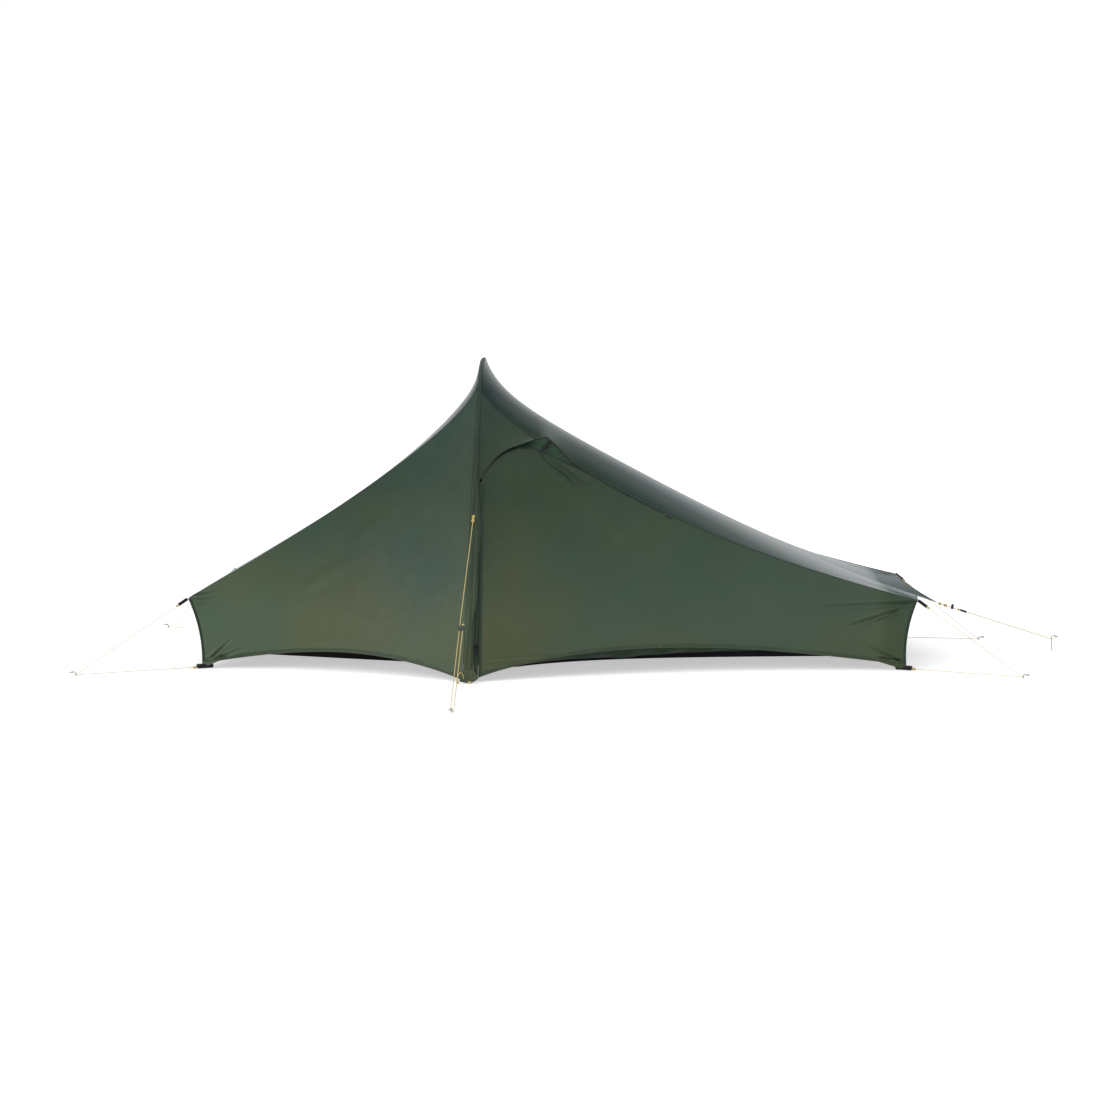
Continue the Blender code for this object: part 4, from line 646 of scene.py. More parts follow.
def creased(points, creases):
    """Draws tension creases into a grid of points. Each crease is a start, an end, a width and
    a depth: a narrow valley with a low ridge on both sides, deepest near its start."""
    normals = outward_of(points)
    change = np.zeros(points.shape[:2])
    for start, end, width, depth in creases:
        reach = end - start
        share = np.clip(np.sum((points - start) * reach, axis=-1) / np.sum(reach * reach), 0.0, 1.0)
        away = np.linalg.norm(points - (start + share[..., None] * reach), axis=-1) / width
        strength = depth * (1.0 - share) ** 0.4 * np.clip(0.3 + share * 6.0, 0.0, 1.0)
        change += strength * (0.5 * np.exp(-((away - 1.9) / 0.9) ** 2) - np.exp(-away ** 2))
    return points + normals * change[..., None]


def band(name, middle, outward, width, lift, finish, body="shelter", steps=9):
    """Seam tape or hem lying on the cloth along a line: across the line it rises from the cloth
    in a rounded step, stays flat and falls again. UV: along the line and across it."""
    ahead = unit(np.gradient(middle, axis=0))
    across = unit(np.cross(ahead, outward))
    place = np.linspace(-1.0, 1.0, steps)
    rise = lift * (1.0 - np.abs(place) ** 6) - 0.0003 * np.abs(place) ** 6
    points = (middle[:, None] + across[:, None] * (place * width / 2.0)[None, :, None]
              + outward[:, None] * rise[None, :, None])
    return fix(surface(name, points, finish, middle[:, None] - outward[:, None] * 0.2),
               body=body)


def edging(name, points, edge, inset, width, lift, finish, first=1, last=-1, body="shelter", lean=0.0):
    """A band along one edge of a grid of points: edge is hem or seam for the first or last
    column, pole or corner for the first or last row. It lies the inset away from the edge, from
    the first to the last of the grid's places, and leans by some of the Y direction."""
    outward = outward_of(points)
    if edge in ("hem", "seam"):
        points, outward = points.swapaxes(0, 1), outward.swapaxes(0, 1)
    row, inner = (0, 1) if edge in ("hem", "pole") else (-1, -2)
    line = points[row] + unit(points[inner] - points[row]) * inset
    normal = unit(outward[row] + (0.0, lean, 0.0)) if lean else outward[row]
    return band(name, line[first:last], normal[first:last], width, lift, finish, body)


def cloth_area(points):
    """Area of a grid of points, from the two triangles of each cell."""
    a, b = points[1:, 1:] - points[:-1, :-1], points[1:, :-1] - points[:-1, 1:]
    return float(0.5 * np.linalg.norm(np.cross(a, b), axis=-1).sum())


def closed(points):
    """The grid with its first column repeated at the end, for measuring a ring."""
    return np.concatenate([points, points[:, :1]], axis=1)


def stretched(obj, points):
    """Works out a stretched sheet's flat area and size from the grid it was made over, and keeps
    neither. Its flat area is the grid's area; its flat size is its longest run and width, with the
    run at most twice what the area needs."""
    area = cloth_area(points)
    width = max(run_length(points[row]) for row in (0, len(points) // 2, -1))
    length = min(max(run_length(points[:, 0]), run_length(points[:, -1])), 2.0 * area / width)
    width = max(width, area / length)


def panel(name, points, finish, node, body="shelter", pieces=(),
          inside=WITHIN, thickness=FLY):
    """One stretched sheet over a grid, standing for a solid of the frame."""
    obj = fix(surface(name, points, finish, inside, thickness), node, body)
    stretched(obj, points)


# The three plain walls: one sheet each, from the sleeve to the corner strut. Creases run from
# the tab at the upper corner and from the pegged lower corner into the sheet, and low folds
# lie along the hem beside the pole.
def hem_folds(at):
    """Three low folds beside the pole, almost along the hem."""
    return folds(at, [((0.030, 0.050), (0.215, 0.008)), ((0.030, 0.030), (0.165, 0.004)),
                      ((0.040, 0.014), (0.150, 0.002))], 0.0055, 0.0026)


def plain_folds(at):
    """The creases of the head wall in the photograph, or their like on another wall."""
    return (folds(at, [((0.985, 1.000), (0.900, 0.870)), ((0.993, 0.973), (0.926, 0.812)),
                       ((0.994, 0.960), (0.951, 0.778))], 0.0040, 0.0050)
            + folds(at, [((0.975, 0.030), (0.882, 0.258)), ((0.970, 0.050), (0.912, 0.200)),
                         ((0.975, 0.010), (0.840, 0.105))], 0.0040, 0.0044)
            + folds(at, [((0.43, 0.70), (0.28, 0.77)), ((0.62, 0.52), (0.36, 0.60)),
                         ((0.08, 0.93), (0.20, 0.80))], 0.020, 0.0022) + hem_folds(at))


def wall_height(at, t):
    """Distance from the hem straight to the roof seam at each t."""
    return np.linalg.norm(at(t, 1.0) - at(t, 0.0), axis=-1)


def wall_grid(at, t, rows, creases, top=None):
    """Grid of a wall with its creases, from the hem up to its top edge, a share of the wall's
    height. Without a share the edge stops short of the roof seam by the seam gap."""
    if top is None:
        top = 1.0 - SEAM_GAP / wall_height(at, t)
    v = np.linspace(0.0, 1.0, rows)[None, :] * top[:, None]
    return creased(at(t[:, None] + 0.0 * v, v), creases)


def turned_under(points, t):
    """The grid with six more rows before its hem, which fall by a thread's width, and at the
    corner fall to the ground, where the cloth is sewn to the pocket."""
    depth = 0.0008 + 0.0135 * np.clip((t - 0.935) / 0.05, 0.0, 1.0)
    fall = np.linspace(1.0, 0.0, 7)[:-1]
    steps = np.stack([0.0 * fall, 0.0 * fall, -fall], axis=-1)
    return np.concatenate([points[:, :1] + depth[:, None, None] * steps[None], points], axis=1)


def hem(name, points, first=1, last=-1, body="shelter"):
    """The folded hem along a sheet's lower edge: a band 13 mm wide."""
    return edging(name, points, "hem", 0.0075, 0.013, 0.0007, hem_green, first, last, body)


def wall_trim(label, points):
    """Folded hem along the lower edge and the strut pocket's seam up the corner edge."""
    return [hem(f"hem_{label}", points), edging(f"corner_seam_{label}", points, "corner", 0.0055,
                                                 0.009, 0.0007, seam_green, 3, -3)]


FOOT_RUN = abs(corner_x(FOOT, 1.0) - HOOP_X)
WALL_END = 1.0 - SEAM_GAP / FOOT_RUN
for label, end, side, columns in (("front_head", HEAD, FRONT, 180), ("back_head", HEAD, BACK, 180),
                                  ("back_foot", FOOT, BACK, 240)):
    def wall(t, v):
        return wall_point(end, side, t, v)
    t = np.linspace(0.0, WALL_END, columns)
    points = wall_grid(wall, t, 150, plain_folds(wall))
    panel(f"wall_sheet_{label}", turned_under(points, t), fly_green, f"wall_{label}",
          pieces=wall_trim(label, points))


# Foot half of the front: a fixed wall at the foot end and the door beside the pole. The door is
# cut to the vent hood's S-curve and to the vent, and folds back about its far edge. Both are
# slack at the ground, where their lower edge curls under into shade.
HINGE = 0.424
HOOD_LOW, HOOD_SHARE = 0.655, 0.128
VENT_END = 0.250
ZIP_WIDTH = 0.014


def front(t, v):
    """The side wall's formula on the front of the foot half."""
    return wall_point(FOOT, FRONT, t, v)


def hood_edge(t):
    """Share of the wall's height at which the hood ends: from 0.655 at the pole up to the seam."""
    share = np.clip(t / HOOD_SHARE, 0.0, 1.0)
    return mix(HOOD_LOW, 1.0, share + 0.135 * early_hump(share))


def door_top(t):
    """Share of the wall's height at which the door ends, under the hood, the vent and the roof."""
    share = np.clip((t - HOOD_SHARE) / (VENT_END - HOOD_SHARE), 0.0, 1.0)
    drop = 0.036 * (1.0 - share) ** 1.3 + 1.03 * np.maximum(HOOD_SHARE - t, 0.0)
    height = wall_height(front, t)
    return np.minimum(hood_edge(t) - SEAM_GAP / height, 1.0 - (drop + SEAM_GAP) / height)


# The curled hem's cloth is the fly's green made darker: painted shade for the underside, which faces the
# ground.
painted_shade_green = cloth_finish("curled_hem_painted_shade_cloth", (0.022, 0.038, 0.023), (0.019, 0.035, 0.026),
                            (0.030, 0.050, 0.030), 0.50, 0.06, 0.0)


def hem_curl(name, points, t, body):
    """The front's slack lower edge, which curls under: ten rows that fall by up to 33 mm and
    draw in, for the part of the hem that isn't taut."""
    depth = 0.033 * np.clip((0.66 - t) / 0.30, 0.0, 1.0) ** 0.7 * np.clip((t - 0.09) / 0.24, 0.0, 1.0)
    slack = depth > 0.0004
    fall = np.linspace(1.0, 0.0, 10)
    wave = 1.0 + 0.25 * np.sin(70.0 * t[slack])[:, None, None]
    steps = np.stack([0.0 * fall, 1.2 * fall ** 1.5, -fall], axis=-1)[None]
    grid = points[slack, :1] + depth[slack, None, None] * steps * np.where([0, 1, 0], wave, 1.0)
    return fix(surface(name, grid + (0.0, 0.0004, 0.0006), painted_shade_green, WITHIN, THIN),
               body=body)


t = np.linspace(HINGE, WALL_END, 210)
points = wall_grid(front, t, 160, (
    folds(front, [((0.998, 0.960), (0.800, 0.597)), ((0.970, 0.800), (0.858, 0.410)),
                  ((0.957, 0.703), (0.923, 0.557))], 0.0050, 0.0095)
    + folds(front, [((0.985, 0.047), (0.933, 0.047)), ((0.992, 0.03), (0.90, 0.22))], 0.0044, 0.0060)
    + folds(front, [((0.453, 0.640), (0.405, 0.600))], 0.012, 0.0012)))
panel("wall_sheet_front_foot", turned_under(points, t), fly_green, "wall_front_foot",
      pieces=wall_trim("front_foot", points) + [hem_curl("wall_hem_curl", points, t, "shelter")])

t = np.linspace((ZIP_WIDTH + SEAM_GAP) / FOOT_RUN, HINGE, 130)
t = np.sort(np.append(t, [HOOD_SHARE, HOOD_SHARE + 0.003]))
points = wall_grid(front, t, 190, hem_folds(front) + folds(
    front, [((0.138, 0.952), (0.255, 0.920)), ((0.140, 0.940), (0.213, 0.907)),
            ((0.150, 0.925), (0.235, 0.890))], 0.0055, 0.0080), door_top(t))
trims = [hem("door_hem", points, body="fly_door"),
         edging("door_zip_facing", points, "pole", 0.0070, 0.012, 0.0006, facing_green, 2, -2, "fly_door"),
         edging("door_top_binding", points, "seam", 0.0030, 0.0045, 0.0007, dark_binding, body="fly_door"),
         hem_curl("door_hem_curl", points, t, "fly_door")]
panel("door_sheet", turned_under(points, t), fly_green, "fly_door", body="fly_door", pieces=trims)


# Roof: two sheets, head side and foot side, each one curved surface from the front seam to the
# back seam. A felled seam with two stitch rows covers each edge where roof and wall meet. The
# roof's coating is smoother than the walls' and takes more of the sky's gloss. Its green is darker
# and bluer than the walls', and its sheen is tinted blue: a painted bluish reflection of the sky.
roof_painted_sheen_green = cloth_finish("roof_painted_sheen_cloth", (0.015, 0.037, 0.025), (0.013, 0.034, 0.028),
                          (0.024, 0.048, 0.036), 0.22, 0.080, 0.06, relief_depth=0.12,
                          sheen_tint=(0.36, 0.72, 1.0, 1.0))
roof_seam = stitch_finish("roof_seam", (0.018, 0.034, 0.021), (0.040, 0.062, 0.040), 0.0065, 0.42)
for label, end, rows, crowding in (("head", HEAD, 138, 1.25), ("foot", FOOT, 200, 1.15)):
    def roof(t, s):
        return roof_point(end, t, s)
    t = np.linspace(0.0, 1.0, rows) ** crowding
    s = np.sin(np.linspace(-0.5, 0.5, 99) * np.pi) * (1.0 - SEAM_GAP / half_width(end))
    pulls = [fold for side in (FRONT, BACK) for fold in folds(
        roof, [((0.995, 0.93 * side), (0.86, 0.55 * side)), ((0.985, 0.80 * side), (0.90, 0.45 * side))],
        0.010, 0.0020)]
    points = creased(roof(t[:, None], s[None, :]), pulls)
    trims = [edging(f"roof_seam_{side_name}_{label}", points, edge, 0.0030, 0.0065, 0.0006, roof_seam, 2,
                    lean=lean) for side_name, edge, lean in (("front", "hem", -0.5), ("back", "seam", 0.5))]
    trims.append(edging(f"roof_end_hem_{label}", points, "corner", 0.0062, 0.010, 0.0007, hem_green, 2, -2))
    panel(f"roof_sheet_{label}", points, roof_painted_sheen_green, f"roof_{label}", pieces=trims)

# End panels: the short upright sheets between the corner struts, bowed in and cut up in the
# middle, hemmed along the ground edge. They reach up to the roof's own end edge.
for label, end in (("head", HEAD), ("foot", FOOT)):
    p, v = np.meshgrid(np.linspace(-1.0, 1.0, 120), np.linspace(0.0, 1.0, 34), indexing="ij")
    across = 1.0 - p ** 2
    top_x = corner_x(end, 1.0) - end * SEAM_GAP
    near_end = [roof_point(end, np.linspace(0.7, 1.0, 241), s) for s in p[:, 0]]
    high = np.array([np.interp(end * top_x, end * line[:, 0], line[:, 2]) for line in near_end])
    high = high[:, None] - 0.0015 - 0.0012 * across ** 0.5
    points = np.stack([corner_x(end, v) - end * (SEAM_GAP + 0.030 * across * hump(v)),
                       p * (half_width(end) - SEAM_GAP), mix(HEM_CORNER + 0.040 * across, high, v)],
                      axis=-1)
    panel(f"end_sheet_{label}", points, fly_green, f"end_panel_{label}",
          pieces=[hem(f"hem_end_{label}", points, 2, -2)])


# Vent hood: a three-sided sheet beside the crown. Its free S-shaped edge stands off the door
# below it and is bound with dark tape; its upper edge is sewn into the roof seam.
def front_outward(t, v):
    """Outward direction of the front wall at one place, square to two short steps on it."""
    here, along, up = (front(t + a, v + b) for a, b in ((0.0, 0.0), (0.01, 0.0), (0.0, 0.01)))
    outward = unit(np.cross(along - here, up - here))
    return outward * np.sign(-outward[1])


hood_edging = stitch_finish("hood_edging", (0.020, 0.034, 0.022), (0.040, 0.058, 0.040), 0.0042)
t = np.linspace(0.0, HOOD_SHARE * 0.96, 60)
share = np.linspace(0.0, 1.0, 44)[None, :]
gap = SEAM_GAP / wall_height(front, t)[:, None]
points = front(t[:, None] + 0.0 * share, mix(hood_edge(t)[:, None] + gap, 1.0 - gap, share))
stand = 0.012 * (1.0 - share) ** 2 * np.sin(np.pi * 0.5 * (t / t[-1]))[:, None]
points = points + stand[..., None] * front_outward(0.08, 0.85)
points[..., 2] += vent_lift(t)[:, None] * share ** 2
panel("hood_sheet", points, fly_green, "vent_hood",
      pieces=[edging("hood_binding", points, "hem", 0.0022, 0.0042, 0.0007, hood_edging, 5)])

# Vent screen: see-through knitted net set back under the propped roof edge, bound with dark
# tape where it meets the door. The holes are real gaps in the material.
net_finish, net_shader = new_finish("vent_net_finish")
net_uv = cloth_uv(net_finish)
along, across, _ = net_uv.parts()
threads = (along + across).lines(0.0017, 0.00055).maths(
    "MAXIMUM", (along - across).lines(0.0017, 0.00055))
net_tone = net_uv.noise(90.0).ramp(0.3, 0.7, 0.0, 1.0)
wire(net_shader, {"Base Color": net_tone.blend((0.030, 0.085, 0.042), (0.020, 0.062, 0.030)),
                  "Alpha": threads, "Normal": threads.bump(0.5, 0.0003), "Roughness": 0.6})

inward = -front_outward(HOOD_SHARE, 0.95)
roof_edge = -(1.0 - SEAM_GAP / FOOT_HALF)
t = np.linspace(HOOD_SHARE * 0.45, mix(HOOD_SHARE, VENT_END, 0.92), 100)
low = front(t, door_top(t)) + inward * 0.0015 - (0.0, 0.0, 0.008)
high = roof_point(FOOT, t, roof_edge) + inward * SEAM_GAP - (0.0, 0.0, 0.0015)
share = np.linspace(0.0, 1.0, 26)[None, :, None]
points = mix(low[:, None], high[:, None], share) + 0.005 * hump(share) * inward
edge = roof_point(FOOT, np.linspace(HOOD_SHARE * 0.80, VENT_END, 60), roof_edge)
vent_binding = band("vent_edge_binding", edge - (0.0, 0.0, 0.0008), -inward + 0.0 * edge, 0.0042, 0.0009,
                    dark_binding)
panel("vent_screen", points, net_finish, "vent_mesh", pieces=[vent_binding], thickness=THIN)


# Vent prop: a short stiffened strap of black webbing, sewn to the roof edge at its top. Swung
# down, it holds the roof's edge up and the vent open.
def webbing_finish(name, colour, rib=0.0011, roughness=0.62):
    """Woven webbing: ribs across the strap at an even pitch, each broken by the crossing
    threads, with fuzz and lighter worn edges in patches."""
    finish, shader = new_finish(name)
    along, across, _ = cloth_uv(finish).parts()
    place = object_place(finish)
    ribs, cross = along.sine(6.2832 / rib), across.sine(6.2832 / (rib * 0.9))
    woven = ribs + ribs * cross * 0.6
    fuzz = place.noise(420.0, 3.0, 0.7)
    rubbed = place.noise(95.0, 5.0, 0.6).ramp(0.55, 0.78, 0.0, 0.3)
    body = (woven + fuzz).ramp(0.2, 1.9, 0.0, 0.55).blend(colour, toned(colour, 2.2, 0.006))
    wire(shader, {"Base Color": rubbed.blend(body, toned(colour, 2.6, 0.014)),
                  "Normal": (woven + fuzz * 0.5).bump(0.7, 0.00025),
                  "Roughness": fuzz.ramp(0.3, 0.7, roughness - 0.08, roughness + 0.12),
                  "Specular IOR Level": 0.25, "Sheen Weight": 0.06})
    return finish


black_webbing = webbing_finish("black_webbing", (0.007, 0.008, 0.008))


def strap(name, node, centre, along, normal, length, width, thickness, body="shelter"):
    """Flat closed strap with rounded edges: rings of a flattened circle, whose width and
    thickness draw in at both ends."""
    along = unit(np.asarray(along))
    across = unit(np.cross(normal, along))
    normal = np.cross(along, across)
    share = np.linspace(-1.0, 1.0, 33)[:, None, None]
    angle = np.linspace(0.0, 2.0 * np.pi, 28, endpoint=False)[None, :, None]
    wide, thick = (np.sign(part) * np.abs(part) ** power
                   for part, power in ((np.cos(angle), 0.45), (np.sin(angle), 0.65)))
    ends = np.minimum(1.0, 0.55 + (1.0 - np.abs(share)) * 12.0)
    path = centre + along * share * length / 2.0
    points = path + across * width / 2.0 * wide * ends ** 0.15 + normal * thickness / 2.0 * thick * ends
    return fix(surface(name, points, black_webbing, path, ring=True, caps=2), node, body)


strap("vent_prop_strap", "vent_prop", (-0.03336, -0.23938, 0.75092), (-0.62849, -0.29061, -0.72148),
      (0.10307, -0.95052, 0.29308), 0.0477, 0.012, 0.0019, "vent_prop")

# Pole sleeve: a flat cloth tube round the whole arch, wide at the ground, with a seam along its
# foot side and loose folds where the cloth is bunched round the pole. At each foot an apron of
# the same cloth hangs over the pocket, tied down by a small loop of cord with two knots.
ALONG_X = np.array([1.0, 0.0, 0.0])
foot = leg_share(0.022) * LEG_LENGTH
distance = np.concatenate([np.linspace(foot, LEG_LENGTH, 170)[:-1],
                           np.linspace(LEG_LENGTH, POLE_LENGTH - LEG_LENGTH, 60)[:-1],
                           np.linspace(POLE_LENGTH - LEG_LENGTH, POLE_LENGTH - foot, 170)])
centre, outward = pole_frames(distance)
height = centre[:, 2:3]
half = sleeve_half_width(height)
angle = np.linspace(0.0, 2.0 * np.pi, 56, endpoint=False)[None, :]
low = np.clip(1.0 - height / 0.42, 0.0, 1.0)
fold = (0.0016 * low * np.sin(3.0 * angle + 9.0 * height)
        + 0.0006 * np.sin(5.0 * angle + 31.0 * height)) * np.sin(angle) ** 2
side_way = half * np.sign(np.cos(angle)) * np.abs(np.cos(angle)) ** 0.8
out_way = (0.0058 * np.abs(np.sin(angle)) ** 0.9 + fold) * np.sign(np.sin(angle))
points = centre[:, None] + side_way[..., None] * ALONG_X + out_way[..., None] * outward[:, None]
sleeve_green = cloth_finish("sleeve_green_cloth", (0.024, 0.046, 0.027), (0.021, 0.041, 0.029),
                            (0.052, 0.076, 0.045), 0.42, 0.20, 0.02)
lie = (centre + outward * 0.0056 + ALONG_X * half * 0.60)[4:-4]
trims = [band("sleeve_seam", lie, outward[4:-4], 0.0045, 0.0005, seam_green, steps=7)]
for side_name, side, spread in (("front", FRONT, 0.0370), ("back", BACK, 0.0255)):
    place, fall = np.meshgrid(np.linspace(-1.0, 1.0, 41), np.linspace(0.0, 1.0, 30), indexing="ij")
    pleat = 0.0012 * np.cos(5.0 * np.pi * place) * fall
    stand = mix(0.7312, 0.7680, fall ** 0.8) - 0.003 * place ** 2 + pleat
    wide = mix(-mix(0.0180, 0.0255, fall), mix(0.0180, spread, fall ** 0.7), (place + 1.0) / 2.0)
    lift = fall * (0.004 * place ** 2 + 0.010 * np.clip(place, 0.0, 1.0) ** 2)
    apron = np.stack([HOOP_X + wide, side * stand, mix(0.0400, 0.0030, fall) + lift], axis=-1)
    trims.append(fix(surface(f"sleeve_apron_{side_name}", apron, sleeve_green, (HOOP_X, 0.0, 0.3), THIN)))
    turn = np.linspace(np.pi, 0.15, 40)
    curve = np.stack([HOOP_X - 0.0213 + 0.0098 * np.cos(turn), side * np.linspace(0.7705, 0.7575, 40),
                      0.0065 + 0.0290 * np.sin(turn) ** 0.7], axis=-1)
    trims.append(round_piece(f"apron_loop_{side_name}", curve, 0.0011, guy_braid,
                             upright=(0.0, 1.0, 0.0)))
    trims += [knot(f"apron_knot_{side_name}_{number}", (HOOP_X + aside, side * 0.7705, 0.0046),
                   (1.0, 0.0, 0.2), 0.0018, 2.0) for number, aside in enumerate((-0.0311, 0.0085))]
sleeve = surface("pole_sleeve_cloth", points, sleeve_green, centre[:, None], THIN, ring=True)
stretched(fix(sleeve, "pole_sleeve"), closed(points))

# Door zip: coil zip on a dark green tape, sewn between the sleeve and the door. The coil is a
# row of teeth that stand out of the tape. A flap of the sleeve's cloth, wavy and slack, lies
# over its middle stretch. The slider and its puller keep their solids.
zip_finish, zip_shader = new_finish("zip_tape_finish")
zip_uv = cloth_uv(zip_finish)
along, across, _ = zip_uv.parts()
off_middle = abs(across - ZIP_WIDTH / 2.0)
on_coil = off_middle.ramp(0.0022, 0.0028, 1.0, 0.0)
teeth = along.sine(6.2832 / 0.0021)
split = off_middle.ramp(0.0002, 0.0005, 1.0, 0.0)
tape_tone = zip_uv.noise(160.0, 4.0).ramp(0.3, 0.7, 0.0, 1.0).blend((0.014, 0.024, 0.016),
                                                                    (0.022, 0.034, 0.024))
coil_tone = teeth.ramp(-0.2, 0.8, 0.0, 1.0).blend((0.022, 0.036, 0.024), (0.060, 0.084, 0.060))
shut = split.blend(on_coil.blend(tape_tone, coil_tone), (0.008, 0.009, 0.008))
zip_height = object_place(zip_finish).parts()[2]
relief = on_coil * (teeth + 2.0) + across.sine(6.2832 / 0.0009) * 0.3
# From 0.36 m to 0.56 m up, the tape's colour turns most of the way to the fly's green: painted light that
# softens the dark line of the tape and its shadow beside the sleeve.
wire(zip_shader, {"Base Color": zip_height.ramp(0.36, 0.56, 0.0, 0.8).blend(shut, (0.026, 0.052, 0.031)),
                  "Normal": relief.bump(0.7, 0.0003), "Roughness": on_coil.ramp(0.0, 1.0, 0.62, 0.40),
                  "Specular IOR Level": 0.15})


def front_leg(share):
    """At a share of the front leg: the sleeve's half width, the pole's point, the way outwards."""
    angle = mix(LEG_FOOT_ANGLE, CROWN_ANGLE, share)
    y, z = leg_point(share)
    outward = np.stack([0.0 * angle, -np.cos(angle), np.sin(angle)], axis=-1)
    return sleeve_half_width(z)[:, None], np.stack([HOOP_X + 0.0 * y, -y, z], axis=-1), outward


half, leg, outward = front_leg(np.linspace(leg_share(0.019), 0.664, 160))
across = np.linspace(0.0, 1.0, 29)
coil = 0.0005 * np.exp(-((across - 0.5) / 0.17) ** 4) - 0.0004
tape = ((leg + ALONG_X * (half + 0.0003))[:, None] + ALONG_X * ZIP_WIDTH * across[None, :, None]
        + outward[:, None] * coil[None, :, None])
tape[..., 2] = np.maximum(tape[..., 2], 0.0062)
zip_tape = fix(surface("zip_tape", tape, zip_finish, WITHIN, 0.0012), "door_zip")

half, leg, outward = front_leg(np.linspace(leg_share(0.185), leg_share(0.66), 170))
across = np.linspace(0.0, 1.0, 25)[None, :]
ends = np.sin(np.pi * np.linspace(0.0, 1.0, 170))[:, None] ** 0.5
height = leg[:, 2:3]
flap_width = (0.0190 + 0.0028 * np.sin(27.0 * height + 1.0)) * ends
slack = 0.0052 * ends * (1.0 + 0.3 * np.sin(19.0 * height))
rise = mix(0.0060, 0.0022, across ** 2) + slack * np.sin(np.pi * across) ** 1.3
flap = ((leg + ALONG_X * 0.5 * half)[:, None] + ALONG_X * (flap_width * across)[..., None]
        + outward[:, None] * rise[..., None])
zip_flap = fix(surface("zip_flap", flap, sleeve_green, WITHIN, THIN))
stretched(zip_tape, tape)
dress(alloy_finish("slider_alloy_finish", (0.026, 0.030, 0.028), 0.50, (1.0, 1.0, 0.2)),
      "zip_slider", "zip_puller")


# Moulded black plastic: the door's toggle, the three line adjusters, and a small bar on the
# foot end's line. Fine moulding grain, slight sheen, and paler scuffs in patches.
def plastic_finish(name, colour, roughness):
    """Noise of two sizes: a fine one is the grain, a coarse one the scuffs, paler and rougher."""
    finish, shader = new_finish(name)
    place = object_place(finish)
    grain = place.noise(1500.0, 2.0)
    scuff = place.noise(140.0, 6.0, 0.7).ramp(0.55, 0.72, 0.0, 0.6)
    wire(shader, {"Base Color": scuff.blend(colour, toned(colour, 3.0, 0.030)),
                  "Normal": grain.bump(0.3, 0.0002), "Roughness": grain * 0.14 + (scuff * 0.2 + roughness)})
    return finish


black_plastic = plastic_finish("black_plastic_finish", (0.012, 0.012, 0.013), 0.36)
dress(black_plastic, "door_toggle", "adjuster_hoop_front", "adjuster_hoop_back", "adjuster_foot_end")
share = np.linspace(-1.0, 1.0, 21)
bar_path = np.array([1.4000, -0.0070, 0.1680]) + share[:, None] * np.array([0.0012, 0.0, 0.0092])
round_piece("foot_line_toggle", bar_path, 0.0048 * (1.0 - share ** 8 * 0.4), black_plastic,
            sides=12, upright=(0.0, 1.0, 0.0))

# Corners: an alloy strut stands in a black webbing pocket on the ground and holds up the
# corner, where a webbing tab with a ring takes the guy line. Struts and pegs keep their solids.
# The arch's feet have a shorter pocket of their own.
peg_alloy = alloy_finish("peg_alloy_finish", (0.40, 0.41, 0.43), 0.26, (1.0, 1.0, 0.15))
for label, tab, tab_way in (
        ("front_head", (-1.26112, -0.47876, 0.22858), (-0.75323, -0.40946, -0.51478)),
        ("back_head", (-1.26107, 0.47435, 0.22615), (-0.75098, 0.20311, -0.62831)),
        ("front_foot", (1.25125, -0.41800, 0.22820), (0.75917, -0.37392, -0.53278)),
        ("back_foot", (1.25170, 0.41382, 0.22677), (0.78025, 0.17849, -0.59946))):
    tab, tab_way = np.array(tab), np.array(tab_way)
    facing = (0.0, -1.0 if label.startswith("front") else 1.0, 0.0)
    strap(f"corner_strap_{label}", f"corner_tab_{label}", tab - tab_way * 0.0016, tab_way, facing,
          0.0370, 0.0110, 0.0030)
    ring = np.append(np.linspace(0.0, 2.0 * np.pi, 41)[:-1], 0.0)[:, None]
    upright = unit(np.cross(tab_way, facing))
    loop = tab + tab_way * 0.0135 + 0.0052 * (np.cos(ring) * tab_way + np.sin(ring) * upright)
    wire_ring = tube_points(loop, 0.0010, 8, np.cross(tab_way, upright))
    fix(surface(f"corner_ring_{label}", wire_ring, peg_alloy, loop[:, None], ring=True))
    dress(pole_alloy, f"strut_{label}")
for label, pocket, pocket_way, length in (
        ("front_head", (-1.19188, -0.46086, 0.0075), (-0.8966, -0.44284, 0.0), 0.0555),
        ("back_head", (-1.19327, 0.45716, 0.0075), (-0.96615, 0.25797, 0.0), 0.0555),
        ("front_foot", (1.19211, -0.40039, 0.0075), (0.90778, -0.41946, 0.0), 0.0555),
        ("back_foot", (1.19378, 0.38935, 0.0075), (0.99121, -0.13233, 0.0), 0.0555),
        ("hoop_front", (HOOP_X, -0.73713, 0.0075), (0.0, -1.0, 0.0), 0.0335),
        ("hoop_back", (HOOP_X, 0.73713, 0.0075), (0.0, 1.0, 0.0), 0.0335)):
    dress(peg_alloy, f"peg_{label}")
    strap(f"pocket_{label}", f"foot_pocket_{label}", pocket, pocket_way, UP, length, 0.0218, 0.0146)
dress(peg_alloy, "peg_foot_end")

# Inner tent: a breathable canopy with its back wall in one sheet, a front wall with a D-shaped
# door, and a black floor tub, all hung from the crown of the pole sleeve by a strap.
INNER_END = 1.13
ABOVE_GROUND = (0.0, 0.0, 0.2)


def inner_share(x):
    """Share of the way from the pole to the inner tent's end, on the side that x is on."""
    return np.abs(x - HOOP_X) / np.where(x < HOOP_X, INNER_END + HOOP_X, INNER_END - HOOP_X)


def fly_half(x):
    """Half the flysheet's width at the end that x is towards."""
    return np.where(x < HOOP_X, HEAD_HALF, FOOT_HALF)


def inner_edge(side, x):
    """Distance of the tub's edge from the middle plane: on the front a straight taper with a
    bulge, on the back the flysheet's hem less an inset."""
    if side == FRONT:
        share = (x + INNER_END) / (2.0 * INNER_END)
        return mix(HEAD_HALF, FOOT_HALF, share) - 0.070 + 0.030 * hump(share)
    t = inner_share(x)
    return mix(HOOP_HALF, fly_half(x), t) - 0.1 * hump(t) - mix(0.105, 0.070, t)


